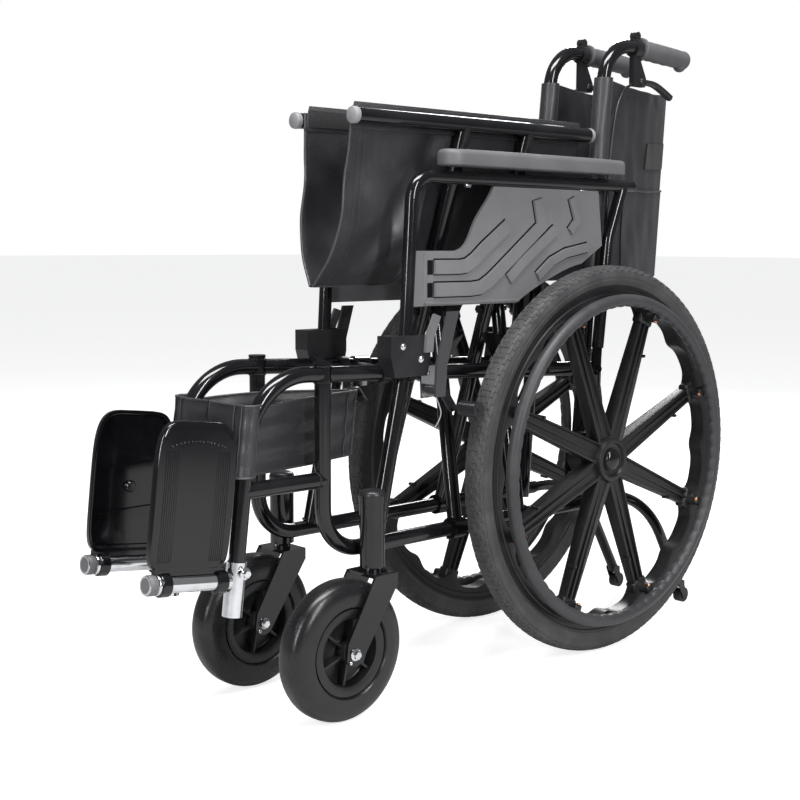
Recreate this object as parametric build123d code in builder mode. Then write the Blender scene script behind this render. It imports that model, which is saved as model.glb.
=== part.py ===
"""Folding heavy-duty manual wheelchair, shown folded.

Millimetres, +Z up. The front of the chair faces -Y and the occupant's left is +X.
x = 0 is the middle of the chair and z = 0 the floor; axle_y is where the rear axle lies.
Lengths along Y are given from the rear axle, and at() and side_plane() add axle_y.
"""
import os
from math import asin, atan2, cos, degrees, hypot, radians, sin, tan

from build123d import *

os.makedirs("parts", exist_ok=True)

# ---- driving dimensions -------------------------------------------------------------------
axle_y = 250.4            # rear axle, behind the middle of the whole length

# frame tubes
frame_od = 22.0
frame_wall = 1.5
frame_x = 72.0            # plane of the welded side frame
lower_z = 226.0           # lower rail
front_y = -531.0          # upright at the front of the side frame
upright_top_z = 482.0
front_bend = 62.0
rail_front_z = 471.0      # top rail, at rail_front_y
rail_front_y = -568.0
rail_slope = -0.046       # the top rail drops a little towards the back
rail_end_y = 36.0
hanger_top_y = -646.0
hanger_lean = 0.119       # the hanger leans forward as it goes down
hanger_bend = 95.0
hanger_end_z = 176.0
stub_z = 327.0
post_foot_y, post_foot_z = -436.0, 232.0
post_top_y = -384.0

# back cane and push handle
cane_x = 56.0
cane_foot_y = 14.0
cane_lean = 0.08
handle_z = 966.0
handle_drop = 0.06
handle_bend = 66.0
handle_end_y = 277.0
grip_d = 32.0
grip_start_y = 160.0
grip_end_y = 284.0

# rear wheels
wheel_r = 305.0
wheel_x = 128.0
tyre_w = 36.0
tyre_depth = 32.0
rim_w = 28.0
rim_depth = 24.0
hub_r = 35.0
hub_in_x, hub_out_x = 108.0, 147.0
hub_cap_r = 17.0
spoke_count = 8
spoke_root_w, spoke_tip_w = 32.0, 24.0
spoke_t = 14.0
hand_rim_r = 251.0
hand_rim_tube = 20.0
hand_rim_x = 161.0
axle_d = 12.0
drum_d = 58.0
drum_in_x, drum_out_x = 76.0, 105.0
axle_plate_t = 6.0

# casters
stem_x = 100.0
stem_y = -467.0
stem_d = 12.0
housing_d = 35.0
housing_low_z, housing_top_z = 204.0, 292.0
caster_r = 97.5
caster_w = 48.0
caster_lead = 57.0        # the caster axle stands this far ahead of the stem
caster_hub_r = 62.0
caster_dish = 7.0         # how deep the hub's faces are sunk
fork_t = 4.0
fork_gap = 2.5
crown_z = 193.0
crown_half = 20.0
caster_bolt_d = 10.0

# cross brace and seat rails
seat_rail_x = 62.0
seat_rail_z = 813.0
seat_rail_front_y, seat_rail_back_y = -469.0, 29.0
brace_foot_y = -304.5     # front bar of the first brace, at its foot
brace_lean = 50.0         # how far each bar leans back from foot to top
brace_pitch = 137.0       # front bar to rear bar
brace_gap = 27.0          # one brace to the other, along the fold axis
foot_sleeve_od = 31.0
foot_sleeve_l = 24.0
cross_bolt_d = 8.0
fold_angle = 48.0         # from folded to open

# armrest
arm_x = 88.0
arm_od = 19.0
arm_wall = 1.5
arm_front_y, arm_foot_z = -397.0, 480.0
arm_front_lean = 0.056
arm_top_z = 735.0
arm_bend = 34.0
arm_end_y = 105.0
arm_pivot_y = 24.0
post_knee_y, post_knee_z = 47.0, 650.0
post_head_y = 82.0
lug_t = 4.0
pivot_bolt_d = 8.0
pad_x = 98.0
pad_w, pad_t = 46.0, 24.0
pad_front_y, pad_back_y = -336.0, 52.0
panel_t = 5.0
panel_low_z = 555.0
panel_step_z = 632.0

# armrest receiver and its latch
receiver_front_y, receiver_back_y = -437.0, -362.0
receiver_in_x, receiver_out_x = 76.0, 104.0
receiver_top_z = 516.0
latch_y, latch_z = -369.0, 499.0

# parking brake
brake_in_x = 84.0
lever_pivot_y, lever_pivot_z = -352.0, 437.0
lever_tip_y, lever_tip_z = -327.0, 548.0
shoe_pivot_y, shoe_pivot_z = -326.0, 437.0
shoe_y, shoe_z = -304.7, 409.0
shoe_d = 22.0
brake_plate_t = 3.0
brake_pin_d = 6.0

# attendant's brake lever
perch_y = 149.0
perch_l = 14.0
hand_lever_y, hand_lever_z = 166.0, 908.0
hand_lever_tip_y, hand_lever_tip_z = 250.0, 892.0
cable_d = 5.0

# footrest
foot_tube_od = 26.0
foot_tube_low_z, foot_tube_top_z = 168.0, 238.0
hinge_z = 214.0
hinge_od = 22.0
hinge_l = 122.0
plate_w = 118.0           # along the hinge
plate_h = 186.0           # from the hinge to the free edge
plate_t = 11.0
plate_wall = 3.0
plate_corner = 26.0
plate_gap = 5.0           # hanger to the footplate's rear edge

# anti-tipper
tip_od = 18.0
tip_corner_y = 179.0
tip_bend = 185.0
tip_end_y, tip_end_z = 297.0, 22.0
tip_roller_d, tip_roller_w = 26.0, 14.0

# soft parts
cloth_t = 2.4
saddle_ys = (-170.0, -60.0)
saddle_w = 16.0
seat_front_y, seat_back_y = -455.0, 20.0
seat_low_z = 588.0
back_low_z, back_top_z = 582.0, 905.0
back_reach = 248.0
strap_low_z, strap_high_z = 346.0, 437.0
strap_reach = 250.0
sheet_start = 12.8        # from the upright's axis to the sheet's edge

# fits
slip = 0.4                # loose clearance between moving bodies
running = 0.05            # radial clearance of pins and axles

# ---- worked out from the above ------------------------------------------------------------
frame_r = frame_od / 2
cope_od = frame_od + 0.02             # what welded pieces are coped to
brace_rise = seat_rail_z - lower_z
brace_reach = frame_x + seat_rail_x
cross_z = lower_z + brace_rise * frame_x / brace_reach
brace_tilt = degrees(atan2(brace_reach, brace_rise))


def rail_z(y):
    """Height of the top rail's axis."""
    return rail_front_z + rail_slope * (y - rail_front_y)


def cane_y(z):
    """Where the back cane's axis is at a height."""
    return cane_foot_y + cane_lean * (z - lower_z)


def hanger_y(z):
    """Where the hanger's axis is at a height."""
    return hanger_top_y - hanger_lean * (rail_z(hanger_top_y) - z)


def at(x, y, z):
    return Vector(x, axle_y + y, z)


def side_plane(x):
    """Plane across X: its own x is Y from the axle and its own y is the height."""
    return Plane(origin=(x, axle_y, 0), x_dir=(0, 1, 0), z_dir=(1, 0, 0))


def cross_plane(y):
    """Plane across Y, looking from behind: its own x is -X and its own y is the height."""
    return Plane(origin=(0, axle_y + y, 0), x_dir=(-1, 0, 0), z_dir=(0, 1, 0))


def bent_tube(points, bend, od, wall=0.0):
    """A tube, or a rod if it has no wall, along points joined by bends."""
    with BuildPart() as tube:
        with BuildLine() as run:
            if len(points) == 2:
                Line(*points)
            else:
                FilletPolyline(*points, radius=bend)
        path = run.wire()
        with BuildSketch(Plane(origin=path @ 0, z_dir=path % 0)):
            Circle(od / 2)
            if wall:
                Circle(od / 2 - wall, mode=Mode.SUBTRACT)
        sweep(path=path)
    return tube


def save(part, name):
    part.part.label = name
    export_step(part.part, f"parts/{name}.step")


# ---- side frame ---------------------------------------------------------------------------
def upright_points(s):
    x = s * frame_x
    return [at(x, front_y, upright_top_z), at(x, front_y, lower_z), at(x, rail_end_y + 24, lower_z)]


def lower_frame(s):
    """Front upright bent into the lower rail, with the caster housing, post and stub bar."""
    x = s * frame_x
    with BuildPart() as frame:
        add(bent_tube(upright_points(s), front_bend, frame_od, frame_wall).part)
        with BuildSketch(Plane.XY.offset(upright_top_z)):
            with Locations(at(x, front_y, 0)):
                Circle(frame_r + 1)
        extrude(amount=4)
    with BuildPart() as housing:
        with BuildSketch(Plane.XY.offset(housing_low_z)):
            with Locations(at(s * stem_x, stem_y, 0)):
                Circle(housing_d / 2)
                Circle(stem_d / 2 + running, mode=Mode.SUBTRACT)
        extrude(amount=housing_top_z - housing_low_z)
        with BuildSketch(Plane.XY.offset(housing_top_z)):
            with Locations(at(s * stem_x, stem_y, 0)):
                Circle(housing_d / 2 + 1)
        extrude(amount=10)
        add(bent_tube(upright_points(s), front_bend, cope_od).part, mode=Mode.SUBTRACT)
    post, stub = (bent_tube(ends, 0, frame_od, frame_wall) for ends in post_and_stub_ends(s))
    with BuildPart() as braces:
        add(post.part)
        add(stub.part)
        add(bent_tube(upright_points(s), front_bend, cope_od).part, mode=Mode.SUBTRACT)
        add(bent_tube(rail_points(s), hanger_bend, cope_od).part, mode=Mode.SUBTRACT)
        with Locations(at(s * stem_x, stem_y, housing_low_z)):
            Cylinder(housing_d / 2 + 1.5, housing_top_z - housing_low_z + 11, mode=Mode.SUBTRACT,
                     align=(Align.CENTER, Align.CENTER, Align.MIN))
    with BuildPart() as whole:
        add(frame.part)
        add(housing.part)
        for solid in braces.part.solids().sort_by(SortBy.VOLUME)[-2:]:
            add(solid)
    return whole


def post_and_stub_ends(s):
    x = s * frame_x
    return ((at(x, post_foot_y, post_foot_z), at(x, post_top_y, rail_z(post_top_y))),
            (at(x, hanger_y(stub_z), stub_z), at(x, front_y, stub_z)))


def rail_points(s):
    x = s * frame_x
    corner = at(x, hanger_top_y, rail_z(hanger_top_y))
    return [at(x, rail_end_y, rail_z(rail_end_y)), corner,
            at(x, hanger_y(hanger_end_z), hanger_end_z)]


def top_rail(s):
    """Top rail and hanger, cut by the upright, with seat saddles and the armrest's stud."""
    x = s * frame_x
    with BuildPart() as rail:
        add(bent_tube(rail_points(s), hanger_bend, frame_od, frame_wall).part)
        add(bent_tube([at(x, front_y, upright_top_z + 4), at(x, front_y, stub_z)], 0,
                      frame_od + 2).part, mode=Mode.SUBTRACT)
        add(bent_tube(cane_points(s), handle_bend, frame_od).part, mode=Mode.SUBTRACT)
        for y in saddle_ys:
            with BuildSketch(cross_plane(y)):
                with BuildLine():
                    Polyline(*saddle_outline(s, rail_z(y)), close=True)
                make_face()
            extrude(amount=saddle_w / 2, both=True)
        with BuildSketch(side_plane(s * (frame_x + frame_r - 3))):
            with Locations((arm_pivot_y, rail_z(arm_pivot_y))):
                Circle(pivot_bolt_d / 2)
        extrude(amount=s * (arm_x + lug_t / 2 + slip - frame_x - frame_r + 3))
        with BuildSketch(side_plane(s * (arm_x + lug_t / 2 + slip))):
            with Locations((arm_pivot_y, rail_z(arm_pivot_y))):
                RegularPolygon(pivot_bolt_d * 0.8, 6)
        extrude(amount=s * 5)
    return rail


def open_seat_rail():
    """Where the seat rail ends up beside the side frame when the chair is open."""
    tilt = radians(brace_tilt + fold_angle)
    bar = hypot(brace_reach, brace_rise)
    lower = bar * frame_x / brace_reach
    return frame_x - (2 * lower - bar) * sin(tilt), lower_z + bar * cos(tilt)


def saddle_outline(s, rail_height):
    """Hooked bracket on the inner side of the top rail that the seat rail drops into."""
    seat_x, seat_z = open_seat_rail()
    under = seat_z - frame_r - slip
    inner, outer = seat_x - 6, frame_x
    points = [(outer, rail_height + frame_r - 1), (outer - 8, under), (inner, under),
              (inner, under - 6), (frame_x - frame_r + 2, rail_height + 2),
              (frame_x, rail_height + 4)]
    return [(-s * px, pz) for px, pz in points]


def cane_points(s):
    x = s * cane_x
    corner_y = cane_y(handle_z)
    end_z = handle_z - handle_drop * (handle_end_y - corner_y)
    return [at(x, cane_y(lower_z - frame_r + 2), lower_z - frame_r + 2),
            at(x, corner_y, handle_z), at(x, handle_end_y, end_z)]


def handle_height(y):
    return handle_z - handle_drop * (y - cane_y(handle_z))


def cane(s):
    """Back cane with the push handle and the welded axle plate."""
    with BuildPart() as tube:
        add(bent_tube(cane_points(s), handle_bend, frame_od, frame_wall).part)
        add(bent_tube(upright_points(s), front_bend, frame_od).part, mode=Mode.SUBTRACT)
    with BuildPart() as plate:
        with BuildSketch(side_plane(s * (cane_x + frame_r - 0.5))):
            with BuildLine():
                Polyline((-22, lower_z + frame_r), (34, lower_z + frame_r), (34, wheel_r + 45),
                         (10, wheel_r + 45), (-22, wheel_r + 18), close=True)
            make_face()
            with Locations((0, wheel_r)):
                Circle(axle_d / 2 + running, mode=Mode.SUBTRACT)
        extrude(amount=s * axle_plate_t)
        add(bent_tube(cane_points(s), handle_bend, frame_od).part, mode=Mode.SUBTRACT)
    with BuildPart() as whole:
        add(tube.part)
        add(plate.part)
    return whole


def grip(s):
    x = s * cane_x
    ends = [at(x, y, handle_height(y)) for y in (grip_start_y, grip_end_y)]
    with BuildPart() as rubber:
        add(bent_tube(ends, 0, grip_d).part)
        with BuildSketch(Plane(origin=ends[0], z_dir=ends[1] - ends[0])):
            Circle(grip_d / 2 + 3)
        extrude(amount=5)
        bore = [ends[0], at(x, handle_end_y + 0.5, handle_height(handle_end_y + 0.5))]
        add(bent_tube(bore, 0, frame_od).part, mode=Mode.SUBTRACT)
    return rubber


def drum_brake(s):
    """Drum brake on the axle, with the axle and its nut."""
    with BuildPart() as drum:
        with BuildSketch(side_plane(s * drum_in_x)):
            with Locations((0, wheel_r)):
                Circle(drum_d / 2)
        extrude(amount=s * (drum_out_x - drum_in_x))
        plate_x = cane_x + frame_r - 0.5
        with BuildSketch(side_plane(s * (plate_x - 9))):
            with Locations((0, wheel_r)):
                Circle(axle_d / 2)
        extrude(amount=s * (hub_out_x - 8 - plate_x + 9))
        with BuildSketch(side_plane(s * plate_x)):
            with Locations((0, wheel_r)):
                RegularPolygon(10, 6)
        extrude(amount=-s * 7)
        with BuildSketch(side_plane(s * (plate_x + axle_plate_t))):
            with Locations((0, wheel_r)):
                Circle(12)
        extrude(amount=s * (drum_in_x - plate_x - axle_plate_t))
        with BuildSketch(side_plane(s * (drum_in_x + 8))):
            with Locations((-4, wheel_r + drum_d / 2 + 4)):
                Rectangle(26, 14)
        extrude(amount=s * 14)
    return drum


# ---- rear wheel ---------------------------------------------------------------------------
def ring_about_axle(x, profile_plane_y, z, outline):
    """A ring turned about the line along X through y and z, from an outline of (x, radius)."""
    plane = Plane(origin=(x, axle_y + profile_plane_y, z), x_dir=(1, 0, 0), z_dir=(0, -1, 0))
    with BuildPart() as ring:
        with BuildSketch(plane):
            with BuildLine():
                Polyline(*outline, close=True)
            make_face()
        revolve(axis=Axis((x, axle_y + profile_plane_y, z), (1, 0, 0)))
    return ring


def tyre(s):
    half = tyre_w / 2
    outline = [(-half + 3, wheel_r - tyre_depth), (half - 3, wheel_r - tyre_depth),
               (half, wheel_r - tyre_depth / 2), (half - 5, wheel_r - 4), (half - 11, wheel_r),
               (11 - half, wheel_r), (5 - half, wheel_r - 4), (-half, wheel_r - tyre_depth / 2)]
    return ring_about_axle(s * wheel_x, 0, wheel_r, outline)


def wheel(s):
    """Moulded wheel: hub, eight tapered spokes and rim in one piece."""
    rim_out = wheel_r - tyre_depth
    rim_in = rim_out - rim_depth
    with BuildPart() as mag:
        with BuildSketch(side_plane(s * (wheel_x - rim_w / 2))):
            with Locations((0, wheel_r)):
                Circle(rim_out)
                Circle(rim_in, mode=Mode.SUBTRACT)
        extrude(amount=s * rim_w)
        with BuildSketch(side_plane(s * (wheel_x - spoke_t / 2))):
            with Locations((0, wheel_r)):
                with PolarLocations(0, spoke_count, start_angle=180 / spoke_count):
                    with Locations(((rim_in + 4) / 2, 0)):
                        Trapezoid(spoke_root_w, rim_in + 4, 89, rotation=-90)
        extrude(amount=s * spoke_t)
        with BuildSketch(side_plane(s * hub_in_x)):
            with Locations((0, wheel_r)):
                Circle(hub_r)
        extrude(amount=s * (hub_out_x - hub_in_x - 6))
        with BuildSketch(side_plane(s * (hub_out_x - 6))):
            with Locations((0, wheel_r)):
                Circle(hub_cap_r)
        extrude(amount=s * 10)
        with BuildSketch(side_plane(s * (hub_in_x - 2))):
            with Locations((0, wheel_r)):
                Circle(axle_d / 2 + running)
        extrude(amount=s * (hub_out_x - hub_in_x - 4), mode=Mode.SUBTRACT)
    return mag


def hand_rim(s):
    """Hand rim with the eight stand-offs that screw to the spoke ends."""
    face = wheel_x + rim_w / 2
    with BuildPart() as rim:
        with Locations(Plane(origin=at(s * hand_rim_x, 0, wheel_r), z_dir=(1, 0, 0))):
            Torus(hand_rim_r, hand_rim_tube / 2)
        with BuildSketch(side_plane(s * face)):
            with Locations((0, wheel_r)):
                with PolarLocations(hand_rim_r + 1, spoke_count, start_angle=180 / spoke_count):
                    Rectangle(12, 20)
        extrude(amount=s * (hand_rim_x - face - 4))
    return rim


# ---- caster -------------------------------------------------------------------------------
def fork(s):
    axle_at = (stem_y - caster_lead, caster_r)
    with BuildPart() as steel:
        for edge in (-1, 1):
            inner = s * stem_x + edge * (caster_w / 2 + fork_gap)
            with BuildSketch(side_plane(inner)):
                with BuildLine():
                    l1 = Line((stem_y - crown_half, crown_z + fork_t),
                              (stem_y + crown_half, crown_z + fork_t))
                    l2 = Line(l1 @ 1, (stem_y + crown_half, crown_z - 12))
                    l3 = Line(l2 @ 1, (axle_at[0] + 15, axle_at[1] - 8))
                    l4 = ThreePointArc(l3 @ 1, (axle_at[0], axle_at[1] - 17),
                                       (axle_at[0] - 15, axle_at[1] - 6))
                    Polyline(l4 @ 1, (axle_at[0] - 12, axle_at[1] + 16), l1 @ 0)
                make_face()
            extrude(amount=edge * fork_t)
        with BuildSketch(Plane.XY.offset(crown_z)):
            with Locations(at(s * stem_x, stem_y, 0)):
                Rectangle(caster_w + 2 * fork_gap + 2 * fork_t, 2 * crown_half)
        extrude(amount=fork_t)
        with BuildSketch(Plane.XY.offset(crown_z + fork_t)):
            with Locations(at(s * stem_x, stem_y, 0)):
                RegularPolygon(12, 6)
        extrude(amount=housing_low_z - crown_z - fork_t - slip)
        with BuildSketch(Plane.XY.offset(crown_z)):
            with Locations(at(s * stem_x, stem_y, 0)):
                Circle(stem_d / 2)
        extrude(amount=housing_top_z - crown_z - 1)
        width = caster_w / 2 + fork_gap + fork_t + 6
        with BuildSketch(side_plane(s * stem_x - width)):
            with Locations(axle_at):
                Circle(caster_bolt_d / 2)
        extrude(amount=2 * width)
    return steel


def caster_wheel(s):
    """Solid tyre moulded on a dished hub with six ribs, bored for the axle bolt."""
    half = caster_w / 2
    y, z = stem_y - caster_lead, caster_r
    with BuildPart() as roller:
        with BuildSketch(side_plane(s * stem_x - half)):
            with Locations((y, z)):
                Circle(caster_r)
        extrude(amount=2 * half)
        fillet(roller.edges().filter_by(GeomType.CIRCLE), radius=half * 0.8)
        for edge in (-1, 1):
            with BuildSketch(side_plane(s * stem_x + edge * half)):
                with Locations((y, z)):
                    Circle(caster_hub_r - 6)
                    Circle(15, mode=Mode.SUBTRACT)
                    with PolarLocations(0, 6):
                        with Locations((caster_hub_r / 2, 0)):
                            Rectangle(caster_hub_r, 4, mode=Mode.SUBTRACT)
            extrude(amount=-edge * caster_dish, mode=Mode.SUBTRACT)
        with BuildSketch(side_plane(s * stem_x - half)):
            with Locations((y, z)):
                Circle(caster_bolt_d / 2 + running)
        extrude(amount=2 * half, mode=Mode.SUBTRACT)
    return roller


# ---- cross brace --------------------------------------------------------------------------
def brace(s, foot_y):
    """One half of the scissor: two bars, foot sleeves on the lower rail and the seat rail.

    Its feet turn on the lower rail at side s, and its seat rail is on the other side.
    """
    foot_x, top_x = s * frame_x, -s * seat_rail_x
    with BuildPart() as arm:
        for shift in (0.0, brace_pitch):
            y = foot_y + shift
            add(bent_tube([at(foot_x, y, lower_z), at(top_x, y + brace_lean, seat_rail_z)], 0,
                          frame_od).part)
            with BuildSketch(cross_plane(y)):
                with Locations((-foot_x, lower_z)):
                    Circle(foot_sleeve_od / 2)
            extrude(amount=foot_sleeve_l / 2, both=True)
            with BuildSketch(cross_plane(y)):
                with Locations((-foot_x, lower_z)):
                    Circle(frame_r + slip)
            extrude(amount=foot_sleeve_l, both=True, mode=Mode.SUBTRACT)
        rail = [at(top_x, seat_rail_front_y, seat_rail_z), at(top_x, seat_rail_back_y, seat_rail_z)]
        add(bent_tube(rail, 0, frame_od).part)
        add(bent_tube(rail, 0, frame_od - 2 * frame_wall).part, mode=Mode.SUBTRACT)
        for y, way in ((seat_rail_front_y, 1), (seat_rail_back_y, -1)):
            with BuildSketch(cross_plane(y)):
                with Locations((-top_x, seat_rail_z)):
                    Circle(frame_r - 0.2)
            extrude(amount=way * 6)
    return arm


def cross_y(foot_y, shift):
    """Where a bar's axis is along the chair at the height of the cross bolts."""
    return foot_y + shift + brace_lean * (cross_z - lower_z) / brace_rise


def brace_a():
    """The brace that carries the cross bolts; its feet are on the left rail."""
    with BuildPart() as arm:
        add(brace(1, brace_foot_y + brace_gap).part)
        for shift in (0.0, brace_pitch):
            head_y = cross_y(brace_foot_y, shift) - frame_r - 7
            with BuildSketch(cross_plane(head_y)):
                with Locations((0, cross_z)):
                    RegularPolygon(cross_bolt_d * 0.85, 6)
            extrude(amount=5)
            with BuildSketch(cross_plane(head_y + 1)):
                with Locations((0, cross_z)):
                    Circle(cross_bolt_d / 2)
            extrude(amount=brace_gap + frame_od + 12)
    return arm


def brace_b():
    """The brace in front of it, bored for the cross bolts; its feet are on the right rail."""
    with BuildPart() as arm:
        add(brace(-1, brace_foot_y).part)
        for shift in (0.0, brace_pitch):
            with BuildSketch(cross_plane(cross_y(brace_foot_y, shift) - frame_r - 3)):
                with Locations((0, cross_z)):
                    Circle(cross_bolt_d / 2 + running)
            extrude(amount=frame_od + 6, mode=Mode.SUBTRACT)
    return arm


# ---- armrest ------------------------------------------------------------------------------
def arm_tube(s):
    x = s * arm_x
    top_y = arm_front_y + arm_front_lean * (arm_top_z - arm_foot_z)
    pivot_z = rail_z(arm_pivot_y)
    top = [at(x, arm_front_y, arm_foot_z), at(x, top_y, arm_top_z), at(x, arm_end_y, arm_top_z)]
    post = [at(x, arm_pivot_y + 3, pivot_z + 34), at(x, post_knee_y, post_knee_z),
            at(x, post_head_y, arm_top_z)]
    with BuildPart() as frame:
        add(bent_tube(top, arm_bend, arm_od, arm_wall).part)
        with BuildSketch(Plane.XZ.offset(-axle_y - arm_end_y)):
            with Locations((x, arm_top_z)):
                Circle(arm_od / 2 - 0.2)
        extrude(amount=4)
    with BuildPart() as upright:
        add(bent_tube(post, 60, arm_od).part)
        with BuildSketch(side_plane(s * (arm_x - lug_t / 2))):
            SlotCenterPoint((arm_pivot_y + 1.5, pivot_z + 20), (arm_pivot_y, pivot_z), 20)
            with Locations((arm_pivot_y, pivot_z)):
                Circle(pivot_bolt_d / 2 + running, mode=Mode.SUBTRACT)
        extrude(amount=s * lug_t)
        with BuildSketch(side_plane(s * (arm_x - lug_t / 2))):
            with Locations((arm_pivot_y + 1.5, pivot_z + 34)):
                Rectangle(19, 24)
        extrude(amount=s * lug_t)
        add(bent_tube(top, arm_bend, arm_od).part, mode=Mode.SUBTRACT)
    with BuildPart() as whole:
        add(frame.part)
        add(upright.part.solids().sort_by(SortBy.VOLUME)[-1])
    return whole


def arm_pad(s):
    top = arm_top_z + arm_od / 2 + 6 + pad_t
    with BuildPart() as pad:
        with BuildSketch(Plane.XY.offset(top - pad_t)):
            with Locations(at(s * pad_x, (pad_front_y + pad_back_y) / 2, 0)):
                RectangleRounded(pad_w, pad_back_y - pad_front_y, 10)
        extrude(amount=pad_t)
        fillet(pad.faces().sort_by(Axis.Z)[-1].edges(), radius=7)
        with BuildSketch(Plane.XY.offset(top - pad_t)):
            for y in (pad_front_y + 62, pad_back_y - 70):
                with Locations(at(s * arm_x, y, 0)):
                    Circle(5)
        extrude(amount=-6.2)
        add(bent_tube([at(s * arm_x, pad_front_y, arm_top_z), at(s * arm_x, pad_back_y, arm_top_z)],
                      0, arm_od).part, mode=Mode.SUBTRACT)
    return pad


def side_panel(s):
    """Moulded side panel hung between the armrest's front tube and its rear post."""
    under = arm_top_z - arm_od / 2 - 0.5
    front = arm_front_y + arm_front_lean * (panel_low_z - arm_foot_z) + arm_od / 2 + 0.5
    step = front + arm_front_lean * (panel_step_z - panel_low_z)
    with BuildPart() as panel:
        with BuildSketch(side_plane(s * (arm_x - panel_t / 2))):
            with BuildLine():
                l1 = Polyline((front, panel_low_z), (step, panel_step_z), (-305, panel_step_z))
                l2 = Spline(l1 @ 1, (-262, 672), (-222, under), tangents=((1, 0), (0.5, 1)))
                l3 = Polyline(l2 @ 1, (18, under), (30, 640), (-20, 612))
                l4 = Spline(l3 @ 1, (-95, 590), (-170, panel_low_z), tangents=((-1, -0.15),
                                                                             (-1, -0.6)))
                Line(l4 @ 1, l1 @ 0)
            make_face()
        extrude(amount=s * panel_t)
    return panel


def receiver(s):
    """Moulded socket on the top rail that the armrest's front foot drops into."""
    x = s * frame_x
    slot_w = arm_od + 2 * slip + 0.8
    width = receiver_out_x - receiver_in_x
    with BuildPart() as block:
        with BuildSketch(side_plane(s * receiver_in_x)):
            with BuildLine():
                Polyline((receiver_front_y + 8, rail_z(-400) - 4),
                         (receiver_back_y - 6, rail_z(-400) - 4),
                         (receiver_back_y, rail_z(-400) + 20), (receiver_back_y, receiver_top_z),
                         (receiver_front_y, receiver_top_z),
                         (receiver_front_y, rail_z(-400) + 24), close=True)
            make_face()
        extrude(amount=s * width)
        with BuildSketch(Plane.XY.offset(arm_foot_z - 1)):
            with Locations(at(s * arm_x, arm_front_y, 0)):
                Circle(slot_w / 2)
            with Locations(at(s * arm_x, arm_front_y + 30, 0)):
                Rectangle(slot_w, 60)
        extrude(amount=receiver_top_z - arm_foot_z + 2, mode=Mode.SUBTRACT)
        for y in (receiver_front_y + 14, receiver_back_y - 14):
            add(bent_tube([at(x, y - 7, rail_z(y - 7)), at(x, y + 7, rail_z(y + 7))], 0,
                          frame_od + 6).part)
        add(bent_tube(rail_points(s), hanger_bend, frame_od).part, mode=Mode.SUBTRACT)
        post_ends = post_and_stub_ends(s)[0]
        add(bent_tube(post_ends, 0, frame_od + 2 * slip).part, mode=Mode.SUBTRACT)
    return block


def latch(s):
    """Release lever on the outer face of the receiver."""
    x = receiver_out_x + slip
    with BuildPart() as lever:
        with BuildSketch(side_plane(s * x)):
            with BuildLine():
                Polyline((latch_y - 7, latch_z - 7), (latch_y + 7, latch_z - 7),
                         (latch_y + 9, latch_z + 14), (latch_y + 22, latch_z + 42),
                         (latch_y + 10, latch_z + 46), (latch_y - 5, latch_z + 16), close=True)
            make_face()
        extrude(amount=s * 5)
        with BuildSketch(side_plane(s * (x - slip))):
            with Locations((latch_y, latch_z)):
                Circle(3)
        extrude(amount=s * slip)
    return lever


# ---- parking brake ------------------------------------------------------------------------
def brake_bracket(s):
    x = s * frame_x
    high = rail_z(lever_pivot_y)
    with BuildPart() as bracket:
        with BuildSketch(side_plane(s * brake_in_x)):
            with BuildLine():
                Polyline((lever_pivot_y - 12, high + 6), (shoe_pivot_y + 14, high + 6),
                         (shoe_pivot_y + 12, shoe_pivot_z - 10),
                         (lever_pivot_y - 10, lever_pivot_z - 12), close=True)
            make_face()
            with Locations((lever_pivot_y, lever_pivot_z), (shoe_pivot_y, shoe_pivot_z)):
                Circle(brake_pin_d / 2 + running, mode=Mode.SUBTRACT)
        extrude(amount=s * brake_plate_t)
        mid = (lever_pivot_y + shoe_pivot_y) / 2
        add(bent_tube([at(x, mid - 14, rail_z(mid - 14)), at(x, mid + 14, rail_z(mid + 14))], 0,
                      frame_od + 5).part)
        add(bent_tube(rail_points(s), hanger_bend, frame_od).part, mode=Mode.SUBTRACT)
    return bracket


def brake_lever(s):
    blade_x = receiver_out_x + 7.0
    inner = brake_in_x + brake_plate_t + slip
    with BuildPart() as lever:
        with BuildSketch(side_plane(s * inner)):
            with Locations((lever_pivot_y, lever_pivot_z)):
                Circle(8)
        extrude(amount=s * (blade_x - inner))
        with BuildSketch(side_plane(s * brake_in_x)):
            with Locations((lever_pivot_y, lever_pivot_z)):
                Circle(brake_pin_d / 2)
        extrude(amount=s * (inner - brake_in_x))
        with BuildSketch(side_plane(s * blade_x)):
            with BuildLine():
                Polyline((lever_pivot_y - 10, lever_pivot_z - 8),
                         (lever_pivot_y + 9, lever_pivot_z - 8),
                         (lever_pivot_y + 12, lever_pivot_z + 34), (lever_tip_y + 10, lever_tip_z),
                         (lever_tip_y - 11, lever_tip_z), (lever_pivot_y - 8, lever_pivot_z + 36),
                         close=True)
            make_face()
        extrude(amount=s * 4)
    return lever


def brake_shoe(s):
    """Swing arm with the round shoe that presses on the tyre."""
    inner = brake_in_x + brake_plate_t + slip
    with BuildPart() as arm:
        with BuildSketch(side_plane(s * inner)):
            SlotCenterPoint(((shoe_pivot_y + shoe_y) / 2, (shoe_pivot_z + shoe_z) / 2),
                            (shoe_pivot_y, shoe_pivot_z), 14)
        extrude(amount=s * 4)
        with BuildSketch(side_plane(s * brake_in_x)):
            with Locations((shoe_pivot_y, shoe_pivot_z)):
                Circle(brake_pin_d / 2)
        extrude(amount=s * (inner - brake_in_x))
        with BuildSketch(side_plane(s * inner)):
            with Locations((shoe_y, shoe_z)):
                Circle(brake_pin_d / 2)
        extrude(amount=s * (wheel_x + tyre_w / 2 - inner))
        with BuildSketch(side_plane(s * (wheel_x - tyre_w / 2))):
            with Locations((shoe_y, shoe_z)):
                Circle(shoe_d / 2)
        extrude(amount=s * (tyre_w - 2))
    return arm


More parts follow.
